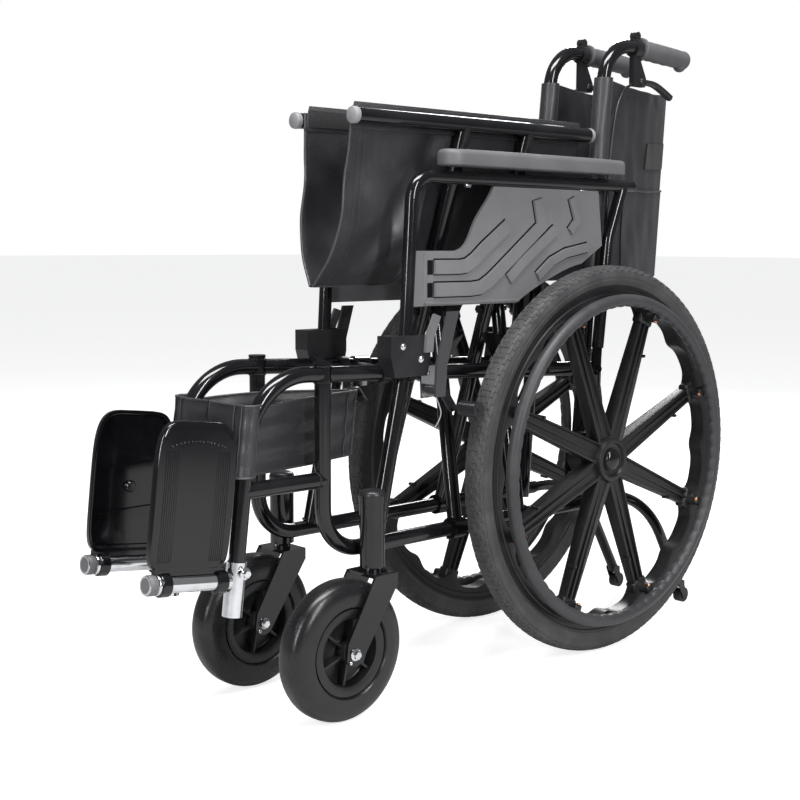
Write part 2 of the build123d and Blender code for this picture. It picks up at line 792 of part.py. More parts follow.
# ---- attendant's brake --------------------------------------------------------------------
def perch(s):
    x = s * cane_x
    with BuildPart() as clamp:
        add(bent_tube([at(x, perch_y - perch_l / 2, handle_height(perch_y - perch_l / 2)),
                       at(x, perch_y + perch_l / 2, handle_height(perch_y + perch_l / 2))], 0,
                      frame_od + 8).part)
        with BuildSketch(side_plane(x - 5)):
            with BuildLine():
                Polyline((perch_y - 8, handle_z - 18), (perch_y + 6, handle_z - 18),
                         (hand_lever_y + 8, hand_lever_z + 6), (hand_lever_y + 6, hand_lever_z - 8),
                         (perch_y - 8, hand_lever_z - 8), close=True)
            make_face()
            with Locations((hand_lever_y, hand_lever_z)):
                Circle(3 + running, mode=Mode.SUBTRACT)
        extrude(amount=10)
        with BuildSketch(side_plane(x - 6)):
            with Locations((perch_y, handle_height(perch_y) + 19)):
                Circle(7)
        extrude(amount=12)
        add(bent_tube(cane_points(s), handle_bend, frame_od).part, mode=Mode.SUBTRACT)
    return clamp


def hand_lever(s):
    """Lever hinged on the perch, two cheeks with a blade that curves back under the grip."""
    x = s * cane_x
    with BuildPart() as lever:
        for cheek in (-1, 1):
            with BuildSketch(side_plane(x + cheek * (5 + slip))):
                SlotCenterPoint((hand_lever_y + 7, hand_lever_z - 1), (hand_lever_y, hand_lever_z),
                                13)
            extrude(amount=cheek * 2.5)
        with BuildSketch(side_plane(x - 5 - slip)):
            with Locations((hand_lever_y, hand_lever_z)):
                Circle(3)
        extrude(amount=10 + 2 * slip)
        with BuildSketch(side_plane(x - 5 - slip - 2.5)):
            with BuildLine():
                l1 = ThreePointArc((hand_lever_y + 10, hand_lever_z - 7),
                                   (hand_lever_y + 44, hand_lever_z - 26),
                                   (hand_lever_tip_y, hand_lever_tip_z - 5))
                l2 = Line(l1 @ 1, (hand_lever_tip_y + 1, hand_lever_tip_z + 4))
                l3 = ThreePointArc(l2 @ 1, (hand_lever_y + 44, hand_lever_z - 16),
                                   (hand_lever_y + 10, hand_lever_z + 5))
                Line(l3 @ 1, l1 @ 0)
            make_face()
        extrude(amount=15 + 2 * slip)
    return lever


cable_route = [
    (57, 140.6, 903), (60, 117, 893), (65, 94, 866), (70, 78, 826), (71, 70, 778), (71.5, 65, 722),
    (72, 60, 664), (74, 56, 606), (73.5, 53, 548), (74, 52, 492), (74.5, 50.5, 444),
    (79, 44, 406), (86, 32, 376), (91, 14, 357),
]


def cable(s):
    """Brake cable from the lever's perch down the cane to the drum."""
    points = [at(s * x, y, z) for x, y, z in cable_route]
    radii = []
    for before, here, after in zip(points, points[1:], points[2:]):
        turn = radians((here - before).get_angle(after - here))
        run = min((here - before).length, (after - here).length)
        radii.append(0.45 * run / tan(turn / 2))
    return bent_tube(points, radii, cable_d)


# ---- footrest -----------------------------------------------------------------------------
def foot_tube(s):
    """Chrome sleeve that slides on the hanger, with the footplate's hinge tube."""
    x = s * frame_x
    with BuildPart() as tube:
        add(bent_tube([at(x, hanger_y(foot_tube_low_z), foot_tube_low_z),
                       at(x, hanger_y(foot_tube_top_z), foot_tube_top_z)], 0, foot_tube_od).part)
        start, end = hinge_ends(s)
        add(bent_tube([start, end], 0, hinge_od).part)
        add(bent_tube([end, end + (end - start).normalized() * 12], 0, hinge_od + 2).part)
        add(bent_tube([at(x, hanger_y(foot_tube_low_z) - 1, foot_tube_low_z - 8),
                       at(x, hanger_y(foot_tube_top_z + 8), foot_tube_top_z + 8)], 0,
                      frame_od + 2 * slip).part, mode=Mode.SUBTRACT)
        with BuildSketch(side_plane(x + s * (foot_tube_od / 2 - 1.5))):
            with Locations((hanger_y(foot_tube_top_z - 12), foot_tube_top_z - 12)):
                Circle(6)
        extrude(amount=s * 8)
    return tube


def hinge_ends(s):
    """The footplate's hinge: square to the hanger, going forward."""
    forward = Vector(0, -1, hanger_lean).normalized()
    start = at(s * frame_x, hanger_y(hinge_z), hinge_z)
    return start + forward * (foot_tube_od / 2 - 2), start + forward * hinge_l


def footplate(s):
    """Moulded plate, folded up, on two sleeves round the hinge tube."""
    start, end = hinge_ends(s)
    forward = (end - start).normalized()
    root = start + forward * 6
    up = Vector(0, hanger_lean, 1).normalized()
    plate = Plane(origin=root - Vector(s * plate_t / 2, 0, 0), x_dir=forward, z_dir=(s, 0, 0))
    low = hinge_od / 2 + 5
    half_w = frame_r + plate_gap + plate_w / 2 - foot_tube_od / 2 - 4
    flip = 1 if plate.y_dir.dot(up) > 0 else -1
    with BuildPart() as shell:
        with BuildSketch(plate):
            with Locations((half_w, flip * (low + plate_h / 2))):
                RectangleRounded(plate_w, plate_h, plate_corner)
        extrude(amount=plate_t)
        with BuildSketch(plate.offset(plate_wall)):
            with Locations((half_w, flip * (low + plate_h / 2))):
                RectangleRounded(plate_w - 2 * plate_wall, plate_h - 2 * plate_wall,
                                 plate_corner - plate_wall)
        extrude(amount=-plate_wall, mode=Mode.SUBTRACT)
        for shift in (0.0, hinge_l - 40):
            add(bent_tube([root + forward * shift, root + forward * (shift + 22)], 0,
                          hinge_od + 10).part)
        add(bent_tube([start - forward * 20, end + forward * 20], 0, hinge_od + 2 * slip).part,
            mode=Mode.SUBTRACT)
        with BuildSketch(plate):
            with Locations((half_w, flip * (low + 2))):
                Rectangle(plate_w - plate_corner, 10)
        extrude(amount=plate_t)
    return shell


# ---- anti-tipper --------------------------------------------------------------------------
def tip_points(s):
    x = s * frame_x
    return [at(x, rail_end_y - 30, lower_z), at(x, tip_corner_y, lower_z),
            at(x, tip_end_y - 10, tip_end_z + 24)]


def anti_tipper(s):
    x = s * frame_x
    half = tip_roller_w / 2 + slip
    with BuildPart() as bar:
        add(bent_tube(tip_points(s), tip_bend, tip_od).part)
        for cheek in (-1, 1):
            with BuildSketch(side_plane(x + cheek * half)):
                SlotCenterPoint((tip_end_y - 6, tip_end_z + 12), (tip_end_y, tip_end_z), 13)
            extrude(amount=cheek * 2)
        with BuildSketch(side_plane(x - half - 2)):
            with Locations((tip_end_y, tip_end_z)):
                Circle(3)
        extrude(amount=2 * half + 4)
        with BuildSketch(side_plane(x - half - 2)):
            with Locations((tip_end_y - 9, tip_end_z + 22)):
                Rectangle(14, 10)
        extrude(amount=2 * half + 4)
        with BuildSketch(side_plane(x - half)):
            with Locations((tip_end_y, tip_end_z)):
                Circle(tip_roller_d / 2 + 1)
                Circle(3, mode=Mode.SUBTRACT)
        extrude(amount=2 * half, mode=Mode.SUBTRACT)
    return bar


def tip_roller(s):
    x = s * frame_x
    with BuildPart() as roller:
        with BuildSketch(side_plane(x - tip_roller_w / 2)):
            with Locations((tip_end_y, tip_end_z)):
                Circle(tip_roller_d / 2)
                Circle(3 + running, mode=Mode.SUBTRACT)
        extrude(amount=tip_roller_w)
    return roller


# ---- soft parts ---------------------------------------------------------------------------
def seat_half(s):
    """Half of the seat sling: a sheet that hangs from the seat rail, inside the brace."""
    lean = tan(radians(brace_tilt))
    gap = (frame_r + cloth_t / 2 + 1.0) / cos(radians(brace_tilt))
    top_z = seat_rail_z - frame_r - 2
    near_middle = cloth_t / 2 + 1.4
    line_x = seat_rail_x - (seat_rail_z - top_z) * lean - gap
    knee_z = top_z - (line_x - near_middle) / lean
    points = [(line_x, top_z), (near_middle, knee_z), (near_middle, seat_low_z)]
    with BuildPart() as sheet:
        with BuildSketch(cross_plane(seat_front_y)):
            with BuildLine() as line:
                Polyline(*[(-s * px, pz) for px, pz in points])
            trace(line_width=cloth_t)
        extrude(amount=seat_back_y - seat_front_y)
        for shift in (0.0, brace_pitch):
            low = brace_foot_y + shift + brace_lean * 0.63 - frame_r - 5
            high = low + brace_gap + frame_od + 12
            with BuildSketch(cross_plane(low)):
                with Locations((0, knee_z - 20)):
                    Rectangle(40, 60)
            extrude(amount=high - low, mode=Mode.SUBTRACT)
    return sheet


def swing_sheet(s, hinge_x, hinge_y, low_z, high_z, reach):
    """A sheet from beside a leaning upright, going back and in to the middle of the chair."""
    inward = asin((hinge_x - cloth_t / 2 - 1.0) / reach)
    away = Vector(-s * sin(inward), cos(inward), 0)
    feet = [at(s * hinge_x, hinge_y(z), z) for z in (low_z, high_z)]
    sheet_plane = Plane(origin=feet[0], x_dir=away, z_dir=away.cross(feet[1] - feet[0]))
    corners = [feet[0] + away * sheet_start, feet[0] + away * reach,
               feet[1] + away * reach, feet[1] + away * sheet_start]
    with BuildPart() as sheet:
        with BuildSketch(sheet_plane):
            with BuildLine():
                Polyline(*[sheet_plane.to_local_coords(corner) for corner in corners], close=True)
            make_face()
        extrude(amount=cloth_t / 2, both=True)
    return sheet


def back_half(s):
    return swing_sheet(s, cane_x, cane_y, back_low_z, back_top_z, back_reach)


def calf_strap(s):
    """Rear layer of the calf strap, cut back where the hanger bends into the top rail."""
    with BuildPart() as layer:
        add(swing_sheet(s, frame_x, hanger_y, strap_low_z, strap_high_z, strap_reach).part)
        add(bent_tube(rail_points(s), hanger_bend, frame_od + 2 * (sheet_start - frame_r)).part,
            mode=Mode.SUBTRACT)
    return layer


def strap_front(s):
    """Front layer of the calf strap, from before the hanger to the middle of the chair."""
    out = frame_r + cloth_t / 2 + 1.0
    with BuildPart() as layer:
        with BuildSketch(side_plane(s * (cloth_t / 2 + 0.5))):
            with BuildLine():
                Polyline(*[(hanger_y(z) - out + shift, z) for z, shift in (
                    (strap_low_z, -cloth_t / 2), (strap_low_z, cloth_t / 2),
                    (strap_high_z, cloth_t / 2), (strap_high_z, -cloth_t / 2))], close=True)
            make_face()
        extrude(amount=s * (frame_x + frame_r - cloth_t / 2))
    return layer


# ---- write every piece --------------------------------------------------------------------
side_parts = {
    "lower_frame": lower_frame, "top_rail": top_rail, "cane": cane, "grip": grip,
    "drum_brake": drum_brake, "tyre": tyre, "wheel": wheel, "hand_rim": hand_rim, "fork": fork,
    "caster_wheel": caster_wheel, "arm_tube": arm_tube, "arm_pad": arm_pad,
    "side_panel": side_panel, "receiver": receiver, "latch": latch,
    "brake_bracket": brake_bracket, "brake_lever": brake_lever, "brake_shoe": brake_shoe,
    "perch": perch, "hand_lever": hand_lever, "brake_cable": cable, "foot_tube": foot_tube,
    "footplate": footplate, "anti_tipper": anti_tipper, "tip_roller": tip_roller,
    "seat_half": seat_half, "back_half": back_half, "calf_strap": calf_strap,
    "strap_front": strap_front,
}
for side_name, side in (("left", 1), ("right", -1)):
    for part_name, make in side_parts.items():
        save(make(side), f"{side_name}_{part_name}")
save(brace_a(), "brace_a")
save(brace_b(), "brace_b")
print("open seat rail at", open_seat_rail(), "cross pivot", round(cross_z, 2))
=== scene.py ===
# Folding manual wheelchair, shown folded: the looks of every piece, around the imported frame.
# Metres, +Z up. The front of the chair faces -Y and the occupant's left is +X.
import math

import bmesh
import bpy
from mathutils import Matrix, Vector, noise


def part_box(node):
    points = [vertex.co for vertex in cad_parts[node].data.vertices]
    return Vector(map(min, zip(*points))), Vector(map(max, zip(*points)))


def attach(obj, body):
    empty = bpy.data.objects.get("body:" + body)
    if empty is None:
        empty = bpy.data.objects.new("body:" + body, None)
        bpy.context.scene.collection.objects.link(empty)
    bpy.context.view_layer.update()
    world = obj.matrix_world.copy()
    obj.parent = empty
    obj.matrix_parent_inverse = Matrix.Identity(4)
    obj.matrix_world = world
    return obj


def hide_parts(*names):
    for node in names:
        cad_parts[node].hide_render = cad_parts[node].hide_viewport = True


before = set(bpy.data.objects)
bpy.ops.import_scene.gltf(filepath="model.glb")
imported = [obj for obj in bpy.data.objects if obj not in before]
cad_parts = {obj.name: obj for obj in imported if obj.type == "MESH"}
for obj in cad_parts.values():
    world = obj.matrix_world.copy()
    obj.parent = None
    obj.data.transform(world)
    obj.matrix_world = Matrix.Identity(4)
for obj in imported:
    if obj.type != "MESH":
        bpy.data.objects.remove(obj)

scene = bpy.context.scene
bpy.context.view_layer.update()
sides = ("left", "right")
braces = {"left": "brace_b", "right": "brace_a"}  # the brace that carries each side's seat rail
axleY = sum(c[1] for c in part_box("left_tyre")) / 2
frameX = 0.072  # the side frame's tubes stand this far from the chair's middle
rowY = 0.2504  # y of the rear axle; the other places along the frame are measured from it
stemY = -0.467 + rowY
up = Vector((0, 0, 1))


# The camera stands in front of the chair, on its left, a little above the armrest.
cameraPlace = {"at": (1.4348, -1.4097, 0.6416), "azimuth": 47.02, "elevation": 6.67,
               "roll": 0.204, "lens": 60.1}


def placeCamera(spec):
    azimuth, elevation = math.radians(spec["azimuth"]), math.radians(spec["elevation"])
    ahead = Vector((-math.sin(azimuth) * math.cos(elevation),
                    math.cos(azimuth) * math.cos(elevation), -math.sin(elevation)))
    right = ahead.cross(up).normalized()
    top = right.cross(ahead)
    roll = math.radians(spec["roll"])
    across = right * math.cos(roll) + top * math.sin(roll)
    above = across.cross(ahead)
    data = bpy.data.cameras.new("camera")
    data.lens = spec["lens"]
    camera = bpy.data.objects.new("camera", data)
    turn = Matrix((across, above, -ahead)).transposed()
    camera.matrix_world = Matrix.Translation(spec["at"]) @ turn.to_4x4()
    scene.collection.objects.link(camera)
    scene.camera = camera


placeCamera(cameraPlace)
print("camera placed")


# ---- finishes

class Term:
    # A number or colour on its way between shader nodes. Arithmetic on it adds Math nodes.
    def __init__(self, finish, socket):
        self.finish, self.socket = finish, socket

    def maths(self, operation, first, second):
        return self.finish.node("ShaderNodeMath", {"operation": operation}, {0: first, 1: second})

    def __add__(self, other):
        return self.maths("ADD", self, other)

    def __sub__(self, other):
        return self.maths("SUBTRACT", self, other)

    def __rsub__(self, other):
        return self.maths("SUBTRACT", other, self)

    def __mul__(self, other):
        return self.maths("MULTIPLY", self, other)

    __radd__, __rmul__ = __add__, __mul__


class Finish:
    # One material: its nodes, and what reaches its Principled shader.
    def __init__(self, name, **constants):
        self.material = bpy.data.materials.new(name)
        self.material.use_nodes = True
        self.tree = self.material.node_tree
        self.shader = self.tree.nodes["Principled BSDF"]
        for socket, value in constants.items():
            self.give(self.shader.inputs[socket.replace("_", " ")], value)
        self.place = self.node("ShaderNodeTexCoord", {}, {}, "Object")

    def give(self, socket, value):
        if isinstance(value, Term):
            self.tree.links.new(value.socket, socket)
        elif socket.type == "RGBA":
            socket.default_value = (*value, 1.0)
        else:
            socket.default_value = value

    def node(self, kind, settings, links, output=0):
        made = self.tree.nodes.new(kind)
        for name, value in settings.items():
            setattr(made, name, value)
        for socket, value in links.items():
            self.give(made.inputs[socket], value)
        return Term(self, made.outputs[output])

    def stretched(self, scale):
        return self.node("ShaderNodeMapping", {}, {"Vector": self.place, "Scale": scale})

    def grain(self, size, detail=3.0, rough=0.55, place=None):
        # Noise with features of that size in metres.
        return self.node("ShaderNodeTexNoise", {}, {"Vector": place or self.place,
                                                    "Scale": 1.0 / size, "Detail": detail,
                                                    "Roughness": rough})

    def cells(self, size):
        return self.node("ShaderNodeTexVoronoi", {}, {"Vector": self.place, "Scale": 1.0 / size})

    def between(self, value, low, high, start=0.0, end=1.0):
        return self.node("ShaderNodeMapRange", {"interpolation_type": "SMOOTHSTEP"},
                         {"Value": value, 1: low, 2: high, 3: start, 4: end})

    def tint(self, factor, dark, light):
        return self.node("ShaderNodeMix", {"data_type": "RGBA"},
                         {0: factor, 6: dark, 7: light}, 2)

    def surface(self, **values):
        for socket, value in values.items():
            self.give(self.shader.inputs[socket.replace("_", " ")], value)

    def relief(self, height, depth, strength):
        bump = self.node("ShaderNodeBump", {}, {"Height": height, "Distance": depth,
                                                "Strength": strength})
        self.surface(Normal=bump)


def enamel(name, colour, wear):
    # Stoved gloss enamel: slight orange peel, faint handling marks, dust in the lee.
    paint = Finish(name, Coat_Weight=0.3, Coat_Roughness=0.05, IOR=1.45)
    peel = paint.grain(0.0032, 2.0)
    marks = paint.between(paint.grain(0.035, 6.0, 0.7), 0.52, 0.78)
    scratches = paint.between(paint.grain(0.0016, 4.0, 0.6, paint.stretched((1, 0.06, 1))),
                              0.66, 0.74)
    dust = paint.between(paint.grain(0.11, 5.0, 0.6), 0.45, 0.75)
    paint.surface(Base_Color=paint.tint(dust * wear, colour, (0.045, 0.046, 0.05)),
                  Roughness=0.13 + marks * 0.1 + scratches * (0.12 * wear) + dust * 0.05)
    paint.relief(peel + scratches * 0.4, 0.00004, 0.35)
    return paint.material


def plate(name, colour, rough, brush):
    # Chrome or zinc: brushed along, with fine pits and finger haze.
    metal = Finish(name, Metallic=1.0)
    haze = metal.between(metal.grain(0.02, 5.0, 0.65), 0.4, 0.75)
    brushed = metal.grain(0.0008, 3.0, 0.6, metal.stretched((1, 0.08, 1)))
    pits = metal.between(metal.cells(0.004), 0.0, 0.09, 1.0, 0.0)
    dull = tuple(c * 0.55 for c in colour)
    metal.surface(Base_Color=metal.tint(haze * 0.4 + pits * 0.2, colour, dull),
                  Roughness=rough + haze * 0.08 + brushed * brush)
    metal.relief(brushed, 0.000006, 0.2)
    return metal.material


def moulding(name, colour, light, rough, grainSize, depth, gloss=0.0):
    # Moulded plastic: spark-eroded grain, flow marks and rubbed, paler patches.
    plastic = Finish(name, Coat_Weight=gloss, Coat_Roughness=0.06)
    leather = plastic.grain(grainSize, 4.0, 0.6)
    flow = plastic.between(plastic.grain(0.06, 4.0, 0.6), 0.35, 0.75)
    rubbed = plastic.between(plastic.grain(0.014, 6.0, 0.72), 0.56, 0.8)
    plastic.surface(Base_Color=plastic.tint(flow * 0.6 + rubbed * 0.5, colour, light),
                    Roughness=rough + flow * 0.06 - rubbed * 0.07 + leather * 0.06)
    plastic.relief(leather, depth, 0.5)
    return plastic.material


def rubber(name, colour, light, rough, grainSize, depth):
    # Moulded rubber: fine pores, scuffs and a bloom of grey dust.
    tread = Finish(name, Sheen_Weight=0.08, Sheen_Roughness=0.4)
    pores = tread.between(tread.cells(grainSize), 0.1, 0.5)
    bloom = tread.between(tread.grain(0.045, 6.0, 0.65), 0.38, 0.74)
    scuffs = tread.between(tread.grain(0.004, 5.0, 0.7, tread.stretched((1, 1, 0.3))), 0.58, 0.7)
    tread.surface(Base_Color=tread.tint(bloom * 0.7 + scuffs * 0.3, colour, light),
                  Roughness=rough + bloom * 0.1 - scuffs * 0.06)
    tread.relief(pores + tread.grain(0.0012) * 0.6, depth, 0.5)
    return tread.material


def leatherette(name, colour, light, rough):
    # Coated cloth: fine pebbled grain over a woven ground, creased and a little shiny.
    cloth = Finish(name, Sheen_Weight=0.12, Sheen_Roughness=0.35, Coat_Weight=0.2,
                   Coat_Roughness=0.24)
    pebble = cloth.between(cloth.cells(0.0011), 0.12, 0.6)
    weaveA = cloth.node("ShaderNodeTexWave", {"bands_direction": "Z"},
                        {"Vector": cloth.place, "Scale": 190.0, "Distortion": 0.6})
    weaveB = cloth.node("ShaderNodeTexWave", {"bands_direction": "Y"},
                        {"Vector": cloth.place, "Scale": 190.0, "Distortion": 0.6})
    creases = cloth.grain(0.028, 5.0, 0.6, cloth.stretched((1, 1, 0.45)))
    shade = cloth.between(cloth.grain(0.09, 4.0, 0.6), 0.35, 0.7)
    rubbed = cloth.between(creases, 0.55, 0.72)
    cloth.surface(Base_Color=cloth.tint(shade * 0.5 + rubbed * 0.4, colour, light),
                  Roughness=rough + shade * 0.07 - rubbed * 0.05)
    cloth.relief(pebble * 0.25 + weaveA * weaveB * 0.3 + creases * 2.2, 0.0009, 0.55)
    return cloth.material


def hookTape(name, colour):
    tape = Finish(name, Roughness=0.95, Sheen_Weight=0.12, Sheen_Roughness=0.6)
    loops = tape.cells(0.0009)
    fuzz = tape.grain(0.006, 5.0, 0.7)
    tape.surface(Base_Color=tape.tint(tape.between(fuzz, 0.4, 0.7), colour,
                                      tuple(c * 2.2 for c in colour)))
    tape.relief(loops + fuzz * 0.5, 0.0006, 0.9)
    return tape.material


finishes = {
    "enamel": enamel("black_enamel", (0.0045, 0.0045, 0.0055), 0.16),
    "leverGrey": enamel("lever_grey", (0.06, 0.06, 0.064), 0.2),
    "chrome": plate("bright_chrome", (0.83, 0.84, 0.86), 0.07, 0.06),
    "zinc": plate("zinc_plate", (0.66, 0.67, 0.69), 0.2, 0.14),
    "copper": plate("copper_screw", (0.72, 0.33, 0.17), 0.25, 0.1),
    "casting": moulding("wheel_nylon", (0.0095, 0.0095, 0.0105), (0.021, 0.021, 0.023), 0.33,
                        0.0016, 0.00012),
    "panel": moulding("panel_plastic", (0.165, 0.165, 0.173), (0.2, 0.2, 0.208), 0.42,
                      0.0014, 0.00018),
    "black": moulding("black_plastic", (0.012, 0.012, 0.0135), (0.024, 0.024, 0.0265), 0.3,
                      0.0015, 0.0001),
    "grey": moulding("grey_plastic", (0.13, 0.13, 0.135), (0.18, 0.18, 0.185), 0.45,
                     0.0016, 0.0001),
    "capGrey": moulding("cap_grey", (0.24, 0.24, 0.25), (0.31, 0.31, 0.32), 0.42, 0.0018,
                        0.0001),
    "gloss": moulding("gloss_shell", (0.0035, 0.0035, 0.0045), (0.006, 0.006, 0.0075), 0.09,
                      0.02, 0.00004, 0.15),
    "tyre": rubber("tyre_rubber", (0.042, 0.042, 0.044), (0.088, 0.088, 0.09), 0.6, 0.0016,
                   0.0002),
    "solidTyre": rubber("solid_tyre", (0.0075, 0.0075, 0.0085), (0.015, 0.015, 0.0155), 0.26,
                        0.004, 0.00006),
    "grip": rubber("grip_rubber", (0.085, 0.085, 0.09), (0.12, 0.12, 0.126), 0.58, 0.0013,
                   0.00022),
    "rim": rubber("rim_rubber", (0.034, 0.034, 0.037), (0.054, 0.054, 0.057), 0.44, 0.0014,
                  0.00014),
    "pad": moulding("pad_foam", (0.12, 0.12, 0.127), (0.16, 0.16, 0.168), 0.46, 0.0012,
                    0.0003),
    "cloth": leatherette("black_leatherette", (0.022, 0.022, 0.025), (0.044, 0.044, 0.049), 0.34),
    "strap": leatherette("strap_vinyl", (0.022, 0.022, 0.0245), (0.038, 0.038, 0.042), 0.33),
    "piping": leatherette("piping_vinyl", (0.038, 0.038, 0.042), (0.062, 0.062, 0.068), 0.34),
    "hook": hookTape("hook_tape", (0.007, 0.007, 0.008)),
    "thread": rubber("stitch_thread", (0.05, 0.05, 0.054), (0.08, 0.08, 0.085), 0.6, 0.0008,
                     0.0001),
    "cable": moulding("cable_sheath", (0.012, 0.012, 0.013), (0.022, 0.022, 0.024), 0.3,
                      0.003, 0.00005),
}
print("finishes mixed:", len(finishes))


# ---- how a piece is made

def paint(node, finish):
    # A CAD node keeps its shape and gets a finish.
    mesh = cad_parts[node].data
    mesh.materials.clear()
    mesh.materials.append(finishes[finish])


def makePiece(bm, side, name, body, finish, replaced=None, sharp=38, mirror=True):
    # Turns a left-hand bmesh into one side's piece, which rides on a body of that side or on
    # a brace, and may take the place of a CAD node. The right-hand one is its mirror image.
    if mirror and side == "right":
        bmesh.ops.scale(bm, vec=(-1, 1, 1), verts=bm.verts)
        bmesh.ops.reverse_faces(bm, faces=bm.faces)
    bmesh.ops.remove_doubles(bm, verts=bm.verts, dist=0.00001)
    bmesh.ops.recalc_face_normals(bm, faces=bm.faces)
    name = side + "_" + name
    mesh = bpy.data.meshes.new(name)
    bm.to_mesh(mesh)
    bm.free()
    mesh.shade_smooth()
    mesh.set_sharp_from_angle(angle=math.radians(sharp))
    mesh.materials.append(finishes[finish])
    piece = bpy.data.objects.new(name, mesh)
    scene.collection.objects.link(piece)
    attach(piece, body if body in braces.values() else side + "_" + body)
    if replaced:
        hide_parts(side + "_" + replaced)
    return piece


def lathe(bm, outline, y, z, steps=96, closed=True):
    # Spins an outline of (x, radius) about the line along X through y, z.
    verts = [bm.verts.new((x, y, z + r)) for x, r in outline]
    edges = [bm.edges.new(pair) for pair in zip(verts, verts[1:])]
    if closed:
        edges.append(bm.edges.new((verts[-1], verts[0])))
    bmesh.ops.spin(bm, geom=verts + edges, cent=(0, y, z), axis=(1, 0, 0),
                   angle=2 * math.pi, steps=steps, use_merge=True)


def turned(bm, outline, base, axis, steps=32):
    # Spins an outline of (height, radius) about any axis that starts at base.
    axis = Vector(axis).normalized()
    side = axis.orthogonal().normalized()
    base = Vector(base)
    verts = [bm.verts.new(base + axis * h + side * r) for h, r in outline]
    edges = [bm.edges.new(pair) for pair in zip(verts, verts[1:])]
    bmesh.ops.spin(bm, geom=verts + edges, cent=base, axis=axis, angle=2 * math.pi,
                   steps=steps, use_merge=True)


def roundEdges(bm, edges, size, steps, profile=0.5):
    return bmesh.ops.bevel(bm, geom=edges, offset=size, offset_type="OFFSET", segments=steps,
                           profile=profile, affect="EDGES", material=-1)["verts"]


def ball(bm, place, radius, subdivisions):
    verts = bmesh.ops.create_icosphere(bm, subdivisions=subdivisions, radius=radius)["verts"]
    bmesh.ops.translate(bm, vec=place, verts=verts)


def block(bm, low, high, bevel=0.0, segments=2):
    # A box from corner to corner, with its edges bevelled.
    size = Vector(high) - Vector(low)
    middle = (Vector(high) + Vector(low)) / 2
    made = bmesh.ops.create_cube(bm, size=1.0)["verts"]
    bmesh.ops.scale(bm, vec=size, verts=made)
    bmesh.ops.translate(bm, vec=middle, verts=made)
    if bevel:
        edges = list({e for v in made for e in v.link_edges})
        made = connected(roundEdges(bm, edges, bevel, segments))
    return made


def connected(verts):
    # Every vertex that hangs together with these.
    found, waiting = set(verts), list(verts)
    while waiting:
        for edge in waiting.pop().link_edges:
            for vert in edge.verts:
                if vert not in found:
                    found.add(vert)
                    waiting.append(vert)
    return list(found)


def rod(bm, points, radius, sides=3):
    # A round bar or piping along a line of points, through a curve's bevel.
    curve = bpy.data.curves.new("line", "CURVE")
    curve.dimensions = "3D"
    curve.bevel_depth = radius
    curve.bevel_resolution = sides
    curve.use_fill_caps = True
    curve.resolution_u = 5
    spline = curve.splines.new("NURBS")
    spline.points.add(len(points) - 1)
    for point, place in zip(spline.points, points):
        point.co = (*place, 1.0)
    spline.order_u = 3
    spline.use_endpoint_u = True
    holder = bpy.data.objects.new("line", curve)
    mesh = bpy.data.meshes.new_from_object(holder)
    bm.from_mesh(mesh)
    bpy.data.objects.remove(holder)
    bpy.data.curves.remove(curve)
    bpy.data.meshes.remove(mesh)


def boltHead(bm, place, axis, radius, height):
    # A domed hexagon head on a washer.
    axis = Vector(axis).normalized()
    turned(bm, [(0, 0), (0, radius * 1.35), (height * 0.2, radius * 1.35),
                (height * 0.24, radius * 1.25), (height * 0.24, 0)], place, axis, 24)
    head = Vector(place) + axis * height * 0.24
    turned(bm, [(0, 0), (0, radius), (height * 0.62, radius), (height * 0.76, radius * 0.8),
                (height * 0.8, 0)], head, axis, 6)


def screwHead(bm, place, axis, radius):
    # A domed cross-head screw, its recess sunk in the middle.
    turned(bm, [(0, radius), (radius * 0.3, radius * 0.97), (radius * 0.55, radius * 0.7),
                (radius * 0.62, radius * 0.36), (radius * 0.3, radius * 0.28),
                (radius * 0.3, 0)], place, axis, 20)


threadSpec = {"length": 0.0032, "gap": 0.0014, "thick": 0.00045}


def stitches(bm, points):
    # Short raised threads along a line of points, end to end with a small gap.
    steps = [(Vector(b) - Vector(a)).length for a, b in zip(points, points[1:])]
    length, thick = threadSpec["length"], threadSpec["thick"]
    pitch = length + threadSpec["gap"]
    for i in range(int(sum(steps) / pitch)):
        middle = (i + 0.5) * pitch
        run, passed = 0, 0.0
        while run < len(steps) - 1 and passed + steps[run] < middle:
            passed += steps[run]
            run += 1
        a, b = Vector(points[run]), Vector(points[run + 1])
        along = (b - a).normalized()
        centre = a + along * (middle - passed)
        made = bmesh.ops.create_uvsphere(bm, u_segments=6, v_segments=4, radius=1.0)["verts"]
        bmesh.ops.scale(bm, vec=(thick, thick, length / 2), verts=made)
        turn = up.rotation_difference(along).to_matrix()
        bmesh.ops.rotate(bm, cent=(0, 0, 0), matrix=turn, verts=made)
        bmesh.ops.translate(bm, vec=centre, verts=made)


# ---- rear wheels

wheelSpec = {
    "x": 0.128, "radius": 0.305, "treadRows": (0.0022, 0.0062, 0.0102, 0.0142), "blocks": 216,
    "treadHeight": 0.0012, "spokes": 8, "firstSpoke": 22.5, "rimInner": 0.2525,
    "hubRadius": 0.0345, "bumps": 72, "handRimRadius": 0.251, "handRimX": 0.161,
    "handRimTube": 0.0098,
}
axleZ = wheelSpec["radius"]


def spokeAngles():
    step = 360 / wheelSpec["spokes"]
    return [math.radians(wheelSpec["firstSpoke"] + i * step) for i in range(wheelSpec["spokes"])]


